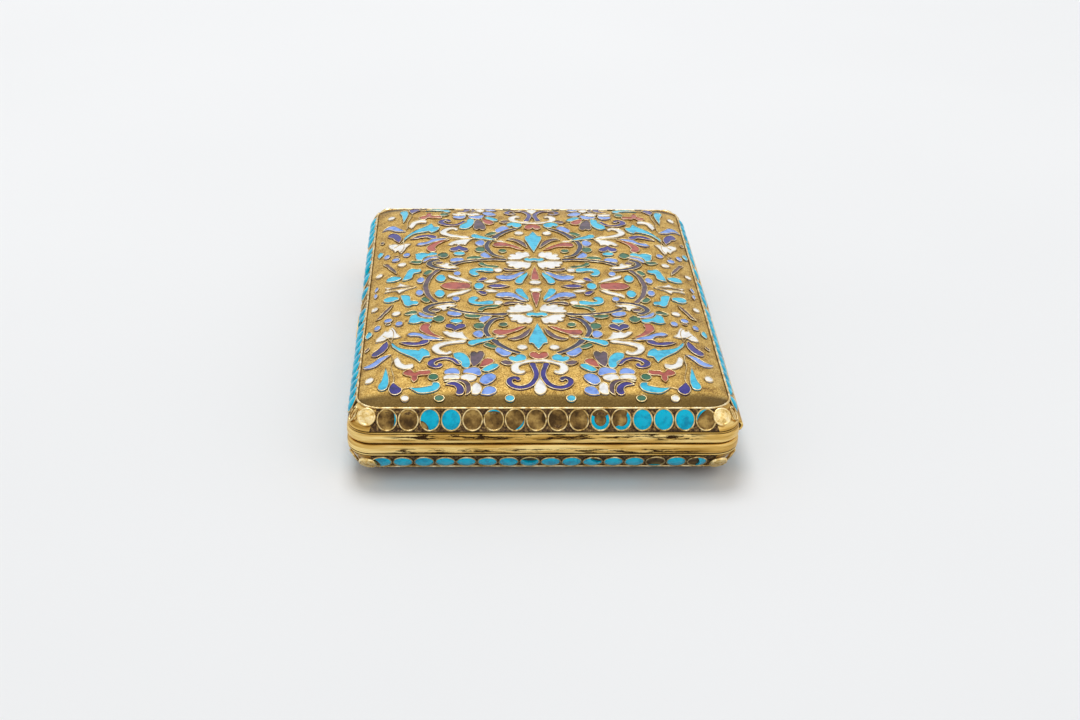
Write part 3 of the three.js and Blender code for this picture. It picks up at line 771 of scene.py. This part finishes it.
def bead_drop(half_x, half_y, rise, chip=None, hole=0.0):
    """A low dome of enamel; a chip takes off what lies beyond (angle, share of the radius)."""
    bm = bmesh.new()
    bmesh.ops.create_uvsphere(bm, u_segments=24, v_segments=16, radius=1)
    slice_off(bm, (0, 0, BALL_LEVEL), (0, 0, 1), clear_inner=True)
    shift(bm, 0, 0, -BALL_LEVEL)
    resize(bm, 1 / BALL_RADIUS, 1 / BALL_RADIUS, 1 / BALL_HEIGHT)
    if hole:
        middle = [v for v in bm.verts if hypot(v.co.x, v.co.y) < hole]
        bmesh.ops.delete(bm, geom=middle, context="VERTS")
    if chip:
        angle, reach = chip
        away = Vector((cos(radians(angle)), sin(radians(angle)), CHIP_LEAN))
        slice_off(bm, away.normalized() * reach, away, clear_outer=True)
    resize(bm, half_x, half_y, rise)
    rim = [e for e in bm.edges if e.is_boundary]
    for v in bmesh.ops.extrude_edge_only(bm, edges=rim)["geom"]:
        if isinstance(v, bmesh.types.BMVert):
            v.co.z = -BEAD_SKIRT
    rim = [e for e in bm.edges if e.is_boundary]
    bmesh.ops.holes_fill(bm, edges=rim, sides=0)
    turn_outwards(bm)
    return bm


# Each bead of the front rows: whole, without its enamel, or (angle, reach, hole) of its damage
FULL = ()
BARE = None
FRONT_BEADS = {
    "lid": [
        (180, -0.6, 0), BARE, (225, 0.75, 0), FULL, BARE, (270, -0.6, 0), (135, -0.55, 0), BARE,
        BARE, (180, -0.78, 0), (90, 0.5, 0.5), (135, 0.1, 0.45), FULL, FULL, FULL, (-45, -0.5, 0),
    ],
    "base": [
        (200, 0.5, 0), FULL, FULL, FULL, FULL, FULL, FULL, (90, 0.45, 0), FULL, FULL, (60, 0.6, 0),
        FULL, FULL, (90, -0.6, 0), FULL, (180, 0.1, 0),
    ],
}
ROW_SIDES = {
    "lid": ["front", "hinge_side", "back", "catch_side"],
    "base": ["back", "hinge_side", "front", "catch_side"],
}


def bead_state(half, side, i, count, luck):
    """The bead of a row by its number: as the photo shows it, or else by luck."""
    if side == "front":
        return FRONT_BEADS[half][i if half == "lid" else -1 - i]
    state = FULL
    dice = luck.random()
    if dice < BARE_SHARE:
        state = BARE
    elif dice < WORN_SHARE:
        state = (luck.uniform(0, 360), luck.uniform(-0.3, 0.7), 0)
    if half == "lid" and side == "catch_side" and abs(i - count / 2 + THUMB_BEADS) < 1:
        state = BARE
    return state


def bead_row(half, side, turns, luck):
    """A sloping strip with its rings and beads, some of them chipped or bare."""
    kind, run, panel = [("end", END_RUN, PANEL_X), ("side", SIDE_RUN, PANEL_Y)][turns % 2]
    half_length = panel - ROW_SHORT[kind]
    count = round(2 * half_length / PITCH[kind])
    step = 2 * half_length / count
    slope = hypot(run, BEAD_DROP)
    foot, head = -slope / 2 + ROW_FOOT, slope / 2 - ROW_HEAD
    middle = (foot + head) / 2
    half_x, half_y = step * BEAD_SHARE - RING_THICK, (head - foot) / 2 - RING_THICK
    bm = box_mesh((-half_length, foot, SEAT_LOW), (half_length, head, SEAT_HIGH))
    for face in bm.faces:
        face.material_index = IN_SEAT
    cup = spun(CUP_PROFILE, 24)
    resize(cup, half_x, half_y, 1)
    ring = oval_ring(half_x, half_y, RING_THICK)
    rise = FRONT_RISE if side == "front" else OTHER_RISE
    full = bead_drop(half_x, half_y, rise)
    for i in range(count):
        state = bead_state(half, side, i, count, luck)
        turn = Matrix.Rotation(luck.uniform(-0.05, 0.05), 4, "Z")
        tip = Matrix.Rotation(luck.uniform(-0.03, 0.03), 4, "X")
        at = moved((i + 0.5) * step - half_length, middle, BEAD_UP) @ (turn @ tip)
        add_copy(bm, ring, at, IN_RING)
        if state != FULL:
            add_copy(bm, cup, at @ moved(0, 0, -CUP_DOWN), IN_CUP)
        if state == FULL:
            add_copy(bm, full, at, IN_ENAMEL)
        elif state is not BARE:
            angle, reach, hole = state
            if half == "base" and side == "front":
                angle += 180
            broken = bead_drop(half_x, half_y, rise, (angle, reach), hole)
            add_copy(bm, broken, at, IN_ENAMEL)
            broken.free()
    for used in (ring, full, cup):
        used.free()
    bm.transform(moved(ROW_SHIFT[half] if side == "front" else 0, 0, 0))
    bm.transform(
        HALF[half] @ facing(turns, run / 2) @ moved(0, 0, BAND_HEIGHT + BEAD_DROP / 2)
        @ Matrix.Rotation(atan2(BEAD_DROP, run), 4, "X")
    )
    keep(
        f"{half}_{side}_beads", bm, half, CUP, RING, BEAD_ENAMEL, SEAT,
        standing_for=[f"{half}_{side}_bead_row"], slot="turquoise_enamel", angle=50,
    )


luck = random.Random(7)
for half in HALF:
    for turns, side in enumerate(ROW_SIDES[half]):
        bead_row(half, side, turns, luck)


# ---- corner discs and rings

CORNER_RADIUS = PANEL_RADIUS + (SIDE_RUN + END_RUN) / 4
CORNER_X = PANEL_X + SIDE_RUN / 2 - CORNER_RADIUS
CORNER_Y = PANEL_Y + END_RUN / 2 - CORNER_RADIUS
DISC_PROFILE = [
    (0, 0.6), (0.6, 0.56), (1.1, 0.46), (1.32, 0.36), (1.42, 0.34), (1.52, 0.44), (1.66, 0.49),
    (1.8, 0.42), (1.88, 0.28), (1.9, 0.0), (0, 0.0),
]
DISC_TURN = radians(14)
DISC_UP_SLOPE = 0.45
CORNER_RING = (0.95, 1.5, 0.24)
RING_TURN = radians(68)
RING_RUN = 2.3
RING_UP = 0.02


def on_corner(sign_x, sign_y, turn, run):
    """A place on the sloping border, so far round a corner, where the border runs out so far."""
    angle = sign_x * turn if sign_y < 0 else pi - sign_x * turn
    return (
        moved(sign_x * CORNER_X, sign_y * CORNER_Y, BAND_HEIGHT + BEAD_DROP / 2)
        @ Matrix.Rotation(angle, 4, "Z")
        @ moved(0, -CORNER_RADIUS, 0)
        @ Matrix.Rotation(atan2(BEAD_DROP, run), 4, "X")
        @ moved(0, 0, GAP)
    )


for half in HALF:
    for sign_x in (-1, 1):
        for sign_y in (-1, 1):
            end = "front" if (sign_y < 0) == (half == "lid") else "back"
            name = f"corner_disc_{end}_{'left' if sign_x < 0 else 'right'}"
            bm = bmesh.new()
            disc = spun(DISC_PROFILE, 36)
            at = on_corner(sign_x, sign_y, DISC_TURN, END_RUN)
            add_copy(bm, disc, at @ moved(0, DISC_UP_SLOPE, 0), 0)
            ring = oval_ring(*CORNER_RING)
            at = on_corner(sign_x, sign_y, RING_TURN, RING_RUN)
            add_copy(bm, ring, at @ moved(0, 0, RING_UP), 1)
            disc.free()
            ring.free()
            keep_half(half, name + "_domed", name, bm, DISC, RING, slot="bright_gilt", angle=60)


# ---- enamel ornament

# One outline a line: colour, kind, how it repeats, then points out from the panel's middle, in
# tenths of a millimetre
# A cell is a closed outline (! is a sharp point), a band a line with its widths, a dot an oval,
# a drop an oval on the slope, and a wire an open line
# A line that names no kind is a cell, and one that says no repeat stands in all four quarters
ORNAMENT = """
cobalt: 299,448! 302,456 306,471 304,481 297,490 289,490 282,483 281,474 288,464
turquoise: 317,384! 320,413 323,438 329,462 324,472 315,472 310,460 309,439 313,409
periwinkle: 310,328! 323,331 335,338 344,349 353,355 367,356! 360,367 348,373 338,369 330,357 321,344
white: 295,343! 301,352 300,367 296,381 287,391 276,397 265,395 261,387 262,377! 268,378 277,379 285,372 \
289,361 292,351
red: 280,415 275,404 267,400 261,409! 256,414 249,408 239,408 226,406! 225,417 232,424 245,424 251,428! \
251,440 257,450! 262,439 262,428! 272,424
green dot: 218,433,10,12
turquoise: 220,454! 210,453 204,461 206,472 214,481 229,486 246,486 256,479 265,469! 252,471 237,469 \
225,465 219,462
white dot: 349,427,8,11
cobalt: 192,460! 184,453 172,452 162,460 156,471 155,485 162,492 170,489 169,477 173,466 182,462
plum: 195,451! 182,444 168,442 154,445 144,455 141,470 142,484 151,493! 150,479 151,466 157,454 168,448 \
182,448
white: 196,443! 197,434 192,427 180,424 168,427 164,436 167,442! 182,440
white: 161,441! 161,431 153,424 142,424 132,429 130,437 136,445 145,448! 152,443
white: 129,453! 122,461 120,471 121,483 129,490 138,489! 138,475 137,462
periwinkle: 194,423! 196,412 189,403 177,399 168,406 165,417 165,424! 180,422
periwinkle: 157,420! 156,408 146,401 135,397 126,401 122,412 121,425 125,430! 135,424 147,420
periwinkle: 123,452! 122,441 116,428 105,421 94,424 90,432 94,444 102,454 112,460
periwinkle: 120,490! 115,475 108,467 98,467 91,473 90,482 97,489 109,492
turquoise: 119,408! 113,398 103,388 93,382 85,387 88,397 99,408 110,414
red: 126,397! 122,386 118,371 110,360 100,362 95,371 102,384 113,393
plum: 136,396! 127,384 120,367 116,350 116,333 122,325 130,333! 137,327 143,336 143,354 142,376
turquoise: 179,337! 170,332 162,333 154,342 147,357 144,376 145,393 149,399 156,397 162,385 169,369 \
177,353
cobalt band: 165,383,5 175,368,7 190,357,7 206,358,8 220,367,11 225,378,11 220,389,9 211,392,8 205,385,7 \
207,380,5
cobalt band: 15,380,7 12,395,8 8,412,8 7,430,8 11,445,8 20,461,9 34,469,9 48,469,9 59,461,9 63,449,9 \
58,439,8 49,437,8 44,444,6
plum: 81,375! 72,368 62,371 53,379! 59,387 70,387
turquoise: 63,358 58,349 50,353! 46,344! 39,340 30,346 27,358 31,369 43,375 55,371
periwinkle: 87,306! 91,323 84,337 71,349 62,344 57,332! 69,323 78,313
navy band: 95,273,8 87,289,10 75,305,9 62,319,8 48,330,7 40,336,4
green: 107,286! 115,295 109,305 96,313 88,309 94,297! 101,293
white dot: 34,307,10,10.5
plum: 15,215! 28,235 41,254 53,262 64,265! 55,274 41,270 28,258 19,239
red: 23,205! 39,210 54,222 72,225 91,225 96,235 88,248 73,249 58,239 45,229 32,216
green dot: 74,199,9,10
white dot: 309,131,9,10
white dot: 359,89,7,9.5
navy band: 73,165,4 84,167,6 95,175,8 104,192,8 110,212,8 112,231,8 108,248,7 104,259,5
periwinkle: 99,158! 111,156 124,166 125,180 117,191! 110,181 104,169
green: 126,191 136,197 138,208 131,220 120,222! 116,209 117,196
periwinkle: 125,228 135,234 139,245 133,257 124,263 118,253 118,239
turquoise: 87,262! 103,263 118,268 135,272 147,280 148,293 141,299 131,292 119,284 104,276
white: 93,257! 81,251 67,253! 79,261
white band: 155,278,5 180,284,9 203,293,13 217,308,13 213,324,12 203,334,10 190,335,8 186,326,3
white: 204,234! 197,248 185,260 170,266 147,270! 155,257 160,245 162,234! 173,237 179,231! 186,239 \
194,231!
cobalt: 198,203 192,196 182,198 177,207! 171,198 162,196 156,204 160,216 170,222 178,231! 185,221 195,216
turquoise dot: 176,182,13,10
green: 158,148! 141,150 125,151 124,161 135,167 149,165 157,159
periwinkle: 195,133! 196,147 187,155 175,157 165,149 167,140! 179,135
navy band: 66,146,6 87,149,9 117,147,8 147,141,7 170,133,8 188,120,10 196,114,7
navy band: 181,88,4 201,90,7 222,97,9 238,109,10 245,126,10 237,139,9 224,147,5
white: 176,100! 194,97 212,102 227,114! 212,118 206,128! 198,122 190,114
plum: 234,124! 222,118 212,124! 217,134 227,132
periwinkle: 259,134! 258,147 249,159 234,165 220,161! 231,155 243,151 250,142
turquoise: 280,183! 278,171 277,157 271,147 263,145! 260,157 249,167 235,171 228,173! 230,184 239,189 \
250,182! 258,187 268,189
green: 291,138! 281,129 269,126 263,134 264,144! 275,143 284,145
green: 212,154! 223,161 227,171 221,183 212,188 204,179 203,165
red: 253,212 247,197 238,193 232,200 235,214! 232,227 225,241 214,254 201,266! 218,260 233,250 245,236 \
252,224
periwinkle: 280,241! 272,234 260,236 248,243 239,251 225,258 214,264 204,273! 225,272 242,269 250,257 \
260,251 271,250
cobalt: 295,276! 279,277 265,281 254,282 246,273 235,273 233,283 241,292 255,296 272,294 285,286
turquoise: 312,268! 304,285 293,302 279,311 264,316 252,320! 246,310! 237,317 230,330 228,346! 240,348 \
244,358 248,371! 257,356 270,342 287,325 300,306 310,287
cobalt: 322,262! 331,278 338,294 348,304 351,315 343,326 332,319 323,305 318,285
white: 314,198! 307,215 303,231 293,248! 306,252 319,247 330,257 346,258! 344,242 335,227 328,210! 322,217 \
319,207
turquoise: 365,193! 359,204 358,217 366,227! 370,216 369,204
plum: 361,271! 367,279 366,289! 359,282
periwinkle dot: 325,162,8.5,10
periwinkle dot: 300,184,7.5,11
periwinkle dot: 347,189,6.5,11
plum dot: 324,179,5,5
plum: 319,80! 325,92 334,108 341,125 348,138 353,148! 343,145 336,129 328,114 321,95
turquoise: 340,56 332,67 321,68 314,63 308,61! 308,51 314,45 329,41 339,46
turquoise: 303,40! 292,41 283,49 281,64 278,74 267,77 262,87 265,95! 274,95 283,101 292,91 296,74 300,59
green: 249,57! 256,67 252,79 244,87 237,82 241,70
periwinkle: 262,19 269,27 267,42 260,49 254,40 254,29
white: 270,0! 283,7 297,14 308,27! 313,13 326,10 341,13! 334,-0 318,-6 296,-5
periwinkle: 363,3! 365,15 361,31! 357,18
turquoise: 215,22 225,33 225,49 215,61 207,51 206,34
white: 145,18! 151,27 161,38 175,47 187,53 199,62! 198,49 185,37 171,30 158,22
cobalt: 133,26! 122,27 112,34 111,42 118,47 125,40
white: 116,21! 110,30 98,33 83,30! 92,22 103,18
periwinkle dot: 179,68,7.5,12
turquoise: 138,56 148,64 151,79 145,93 131,99 114,100 99,97 94,88 98,79 108,78 118,82 128,84! 137,79 \
132,71 128,63!
white dot: 85,88,9.5,10
green: 79,103! 90,99 102,102 116,108 127,118 128,129 121,132! 116,122 106,115 91,113
turquoise: 38,13 45,21 43,36 34,54 23,68 18,78! 17,64 23,44 28,27 31,16
periwinkle: 90,54! 87,41 75,34 59,34 48,41 38,54 28,68 21,81! 34,76 47,64 60,58 75,60
plum band: 69,98,4 63,90,10 50,88,8 38,90,6 24,100,2
plum band: 72,64,4 61,64,7 52,67,2
white: 8,128! 10,112 17,98 25,95 30,102! 38,97 46,100 48,109! 56,107 61,114 58,122! 65,127 63,137 50,139! \
36,138 24,135 15,131
white: 26,158! 34,150 48,148! 59,150 61,159 53,165! 58,172 52,180 43,178! 43,187 34,192 26,188! 21,193 \
14,188 11,175 10,167! 17,164
white band two: 0,369,8 23,372,8 39,379,9 48,387,11 51,399,13 47,412,13 39,416,10 32,412,5
white two: 0,437! 6,452 11,469 10,483 0,490
red two: 0,341! 6,332 14,331 19,342 15,354 0,362
turquoise two: 0,192! 6,216 13,245 19,269 19,288! 12,289 6,303 0,317!
turquoise two: 0,141 9,138 18,140 23,147 20,156 15,158! 12,153! 6,155 0,157
red two: 0,32 8,37 8,49 6,69 3,88 0,110!
white dot two: 0,21,12.5,10.5
red pair: 148,0 151,13 168,18 193,19 205,14 215,0!
turquoise dot pair: 128,0,10.5,17.5
cobalt pair: 109,0! 98,8 80,9 59,0!
plum band pair: 249,0,9 246,25,9 240,53,8 232,70,6 222,90,4
gilt wire: 141,273 170,272 200,273 225,276
gilt wire: 332,234 322,248 314,266 309,276
gilt wire: 312,266 309,243 311,218 319,199
gilt wire: 308,337 305,356 307,381 302,410 298,435 299,447
gilt wire: 281,475 272,471 265,469
white drop: 273,501,8.5,7.5
green drop: 204,501,10,8
turquoise drop: 62,501,9.5,8
"""
REPEATS = {
    "four": [(1, 1), (1, -1), (-1, 1), (-1, -1)],
    "two": [(1, 1), (1, -1)],
    "pair": [(1, 1), (-1, 1)],
}
MIRRORED = {"two": (-1, 1), "pair": (1, -1)}
LEAN = 0.0165
BAND_GROWTH = 0.1
CELL_GROWTH = 0.07
CELL_EDGE = 1.1


def ribbon(points):
    """The outline of a band round its middle line."""
    left, right = [], []
    for i, (x, y, width) in enumerate(points):
        ax, ay, _ = points[max(i - 1, 0)]
        bx, by, _ = points[min(i + 1, len(points) - 1)]
        length = hypot(bx - ax, by - ay)
        nx, ny = -(by - ay) / length * width / 2, (bx - ax) / length * width / 2
        left.append((x + nx, y + ny, False))
        right.append((x - nx, y - ny, False))
    return left + right[::-1]


def fuller(points, growth):
    """A closed outline grown outwards."""
    turn = sum(a[0] * b[1] - b[0] * a[1] for a, b in zip(points, points[1:] + points[:1]))
    growth = copysign(growth, turn)
    grown = []
    for before, (x, y, sharp), after in zip(points[-1:] + points[:-1], points, points[1:] + points[:1]):
        run, rise = after[0] - before[0], after[1] - before[1]
        length = hypot(run, rise)
        grown.append((x + rise / length * growth, y - run / length * growth, sharp))
    return grown


def read_ornament():
    """Every outline of one quarter, half or whole, as (colour, closed, repeats, points)."""
    found = []
    for line in ORNAMENT.strip().splitlines():
        title, text = line.split(":")
        colour, *words = title.split()
        kind = next((word for word in words if word not in REPEATS), "cell")
        repeat = next((word for word in words if word in REPEATS), "four")
        points = []
        for word in text.split():
            numbers = [float(n) / 10 for n in word.rstrip("!").split(",")]
            points.append((*numbers, word.endswith("!")))
        if kind in ("dot", "drop"):
            u, v, a, b, _ = points[0]
            steps = [pi * i / 4 for i in range(8)]  # an oval has eight points
            points = [(u + a * cos(t), v + b * sin(t), False) for t in steps]
        if kind == "band":
            points = [p[:3] for p in points]
        if repeat in MIRRORED:
            sign_u, sign_v = MIRRORED[repeat]
            other = [(sign_u * u, sign_v * v, last) for u, v, last in points]
            if kind == "cell":
                points = points + other[-2:0:-1]
            elif kind == "band" and points[0][0 if repeat == "two" else 1] == 0:
                points = other[:0:-1] + points
        if kind == "band":
            points = fuller(ribbon(points), BAND_GROWTH)
        if kind not in ("wire", "drop"):
            points = fuller(points, CELL_GROWTH)
        found.append((colour, kind != "wire", REPEATS[repeat], points))
    return found


def outline_curve(outlines, flat):
    """The mesh of the outlines: filled and thick if flat, or else a wire along each."""
    data = bpy.data.curves.new("outlines", "CURVE")
    data.dimensions = "2D" if flat else "3D"
    data.fill_mode = "BOTH" if flat else "FULL"
    if flat:
        data.extrude = ENAMEL_DEPTH
    else:
        data.bevel_depth = WIRE_THICK
        data.bevel_resolution = 1
        data.use_fill_caps = True
    for closed, points in outlines:
        line = data.splines.new("BEZIER")
        line.bezier_points.add(len(points) - 1)
        line.use_cyclic_u = closed
        line.resolution_u = 3
        for knot, (x, y, sharp) in zip(line.bezier_points, points):
            knot.co = (x, y, 0)
            knot.handle_left_type = knot.handle_right_type = "VECTOR" if sharp else "AUTO"
    made = linked("outlines", data)
    mesh = evaluated(made)
    bpy.data.objects.remove(made, do_unlink=True)
    return mesh


def joined(mesh, reach, longest=None):
    """The mesh with its doubles joined, and long edges halved up to four times."""
    bm = bmesh.new()
    bm.from_mesh(mesh)
    join(bm, reach)
    for _ in range(4):
        long_edges = [e for e in bm.edges if longest and e.calc_length() > longest]
        if not long_edges:
            break
        bmesh.ops.subdivide_edges(bm, edges=long_edges, cuts=1)
        bmesh.ops.triangulate(bm, faces=[f for f in bm.faces if len(f.verts) > 3])
    turn_outwards(bm)
    bm.to_mesh(mesh)
    bm.free()
    return mesh


def drape(half, mesh, up):
    """Lay a flat mesh on the panel's ground, so far above it."""
    count = len(mesh.vertices)
    at = np.empty(count * 3)
    mesh.vertices.foreach_get("co", at)
    at = at.reshape(-1, 3)
    at[:, 2] += ground_height(half, at[:, 0], at[:, 1]) + up
    mesh.vertices.foreach_set("co", at.ravel())
    mesh.update()


def place_outlines(half):
    """The ornament's outlines on a panel, by colour, and the lines of all its wires."""
    lean = LEAN if half == "lid" else 0.0
    cells, wires = {}, []
    for colour, closed, repeats, points in read_ornament():
        for sign_u, sign_v in repeats:
            placed = []
            for u, v, sharp in points:
                x, y = sign_u * u, sign_v * v
                placed.append((-x - lean * y, -y, sharp))
            wires.append((closed, placed))
            if closed:
                cells.setdefault(colour, []).append((True, placed))
    return cells, wires


for half, matrix in HALF.items():
    cells, wires = place_outlines(half)
    for colour, outlines in cells.items():
        mesh = joined(outline_curve(outlines, True), 1e-4, CELL_EDGE)
        drape(half, mesh, ENAMEL_UP - ENAMEL_DEPTH)
        mesh.transform(matrix)
        keep_mesh(f"{half}_enamel_{colour}", mesh, half, ENAMELS[colour], slot="turquoise_enamel", angle=40)
    mesh = joined(outline_curve(wires, False), 1e-3)
    drape(half, mesh, WIRE_UP)
    mesh.transform(matrix)
    stands_for = ["lid_wirework"] if half == "lid" else ()
    keep_mesh(f"{half}_cell_wires", mesh, half, WIRE, standing_for=stands_for, slot="gilt_wire", angle=80)


# ---- pieces kept near their CAD form


def eased(node, body, material, width, slot, segments=2):
    """The CAD piece with its edges eased and its round faces smooth."""
    bm = bmesh.new()
    bm.from_mesh(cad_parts[node].data)
    join(bm, 1e-7)
    bmesh.ops.dissolve_limit(bm, angle_limit=radians(1), verts=bm.verts, edges=bm.edges)
    crisp = [e for e in bm.edges if len(e.link_faces) == 2 and e.calc_face_angle(0) > radians(35)]
    bmesh.ops.bevel(
        bm, geom=crisp, offset=width * MM, offset_type="OFFSET", segments=segments, profile=0.5,
        affect="EDGES", clamp_overlap=True, material=-1,
    )
    turn_outwards(bm)
    keep(node + "_eased", bm, body, material, standing_for=[node], slot=slot)


for number in range(1, 5):
    eased(f"base_hinge_knuckle_{number}", "base", BAND, 0.06, "bright_gilt")
for number in range(1, 4):
    eased(f"lid_hinge_knuckle_{number}", "lid", BAND, 0.06, "bright_gilt")
eased("hinge_pin", "base", STEEL, 0.1, "steel", 3)
eased("base_closing_lip", "base", INNER, 0.12, "inner_gilt")
eased("lid_keeper", "lid", INNER, 0.06, "inner_gilt")
eased("latch_hook", "catch", INNER, 0.05, "inner_gilt")
eased("catch_leaf_spring", "catch", STEEL, 0.04, "steel")
eased("thumb_piece", "catch", BAND, 0.05, "bright_gilt")
for end in ("front", "back"):
    eased(f"leaf_staple_{end}", "base", INNER, 0.06, "inner_gilt")
    for half in ("base", "lid"):
        eased(f"{half}_band_bracket_{end}", half, INNER, 0.07, "inner_gilt")


# ---- elastic bands

RIB_PITCH = 0.72
RIB_RISE = 0.12
SHOT_PITCH = 0.8
SHOT_RISE = 0.04
HEM_LENGTH = 2.6
HEM_RISE = 0.08
WEB_SHARE = 0.98
WEB_SHEET = 0.36
EDGE_WAVE = 0.006
EDGE_WAVES = 2.1


def web(half):
    """A ribbed elastic web whose edge waves a little, with a stitched turn at each end."""
    node = half + "_elastic_band"
    low, high = (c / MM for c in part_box(node))
    middle = (low + high) / 2
    long, wide, thick = high.y - low.y, high.x - low.x, high.z - low.z
    bm = bmesh.new()
    bmesh.ops.create_grid(bm, x_segments=56, y_segments=240, size=1)
    resize(bm, wide / 2 * WEB_SHARE, long / 2, 1)
    for v in bm.verts:
        rib = 0.5 + 0.5 * cos(2 * pi * v.co.x / RIB_PITCH)
        over = pi if rib > 0.5 else 0
        shot = 0.5 + 0.5 * cos(2 * pi * v.co.y / SHOT_PITCH + over)
        v.co.z = RIB_RISE * rib + SHOT_RISE * shot
        if abs(abs(v.co.y) - long / 2) < HEM_LENGTH:
            v.co.z += HEM_RISE
        v.co.x *= 1 + EDGE_WAVE * sin(v.co.y * EDGE_WAVES)
    bmesh.ops.solidify(bm, geom=bm.faces[:], thickness=WEB_SHEET)
    turn_outwards(bm)
    top = max(v.co.z for v in bm.verts)
    foot = min(v.co.z for v in bm.verts)
    resize(bm, 1, 1, thick / (top - foot))
    shift(bm, 0, 0, -(top + foot) / 2 * thick / (top - foot))
    bm.transform(Matrix.Scale(MM, 4) @ Matrix.Translation(middle))
    keep(half + "_woven_band", bm, half, WEB, standing_for=[node], slot="elastic", angle=60)


web("base")
web("lid")


# ---- floor and light

FLOOR_DROP = 0.02

bm = bmesh.new()
bmesh.ops.create_grid(bm, x_segments=1, y_segments=1, size=3)
shift(bm, 0, 1, -FLOOR_DROP * MM)
floor = linked("floor", as_mesh(bm, "floor"))
floor.data.materials.append(floor_finish())


def lamp(name, energy, size, place):
    """A square lamp that shines on the case."""
    data = bpy.data.lights.new(name, "AREA")
    data.energy = energy
    data.size = size
    made = linked(name, data)
    made.location = place
    made.rotation_euler = (-Vector(place)).to_track_quat("-Z", "Y").to_euler()


lamp("key", 13.5, 0.8, (-0.15, 0.6, 1.6))
lamp("fill", 1.0, 0.9, (0.5, -0.7, 0.8))

# The room lights the case softly, and looks brighter itself where it is seen or mirrored
world = bpy.data.worlds.new("soft_room")
scene.world = world
world.use_nodes = True
room = Nodes(world.node_tree)
lit = room.tree.nodes["Background"]
room.put(lit.inputs["Color"], (1, 1, 1))
room.put(lit.inputs["Strength"], 0.59)
seen = room.add("ShaderNodeBackground", {"Color": (0.9, 0.91, 0.93)})
ray = room.add("ShaderNodeLightPath").outputs
sees = room.reckon("MAXIMUM", ray["Is Camera Ray"], ray["Is Glossy Ray"])
sees = room.reckon("MAXIMUM", sees, ray["Is Transmission Ray"])
choose = room.add("ShaderNodeMixShader", {"Fac": sees, 1: lit.outputs[0], 2: seen.outputs[0]})
room.put(room.tree.nodes["World Output"].inputs["Surface"], choose.outputs[0])
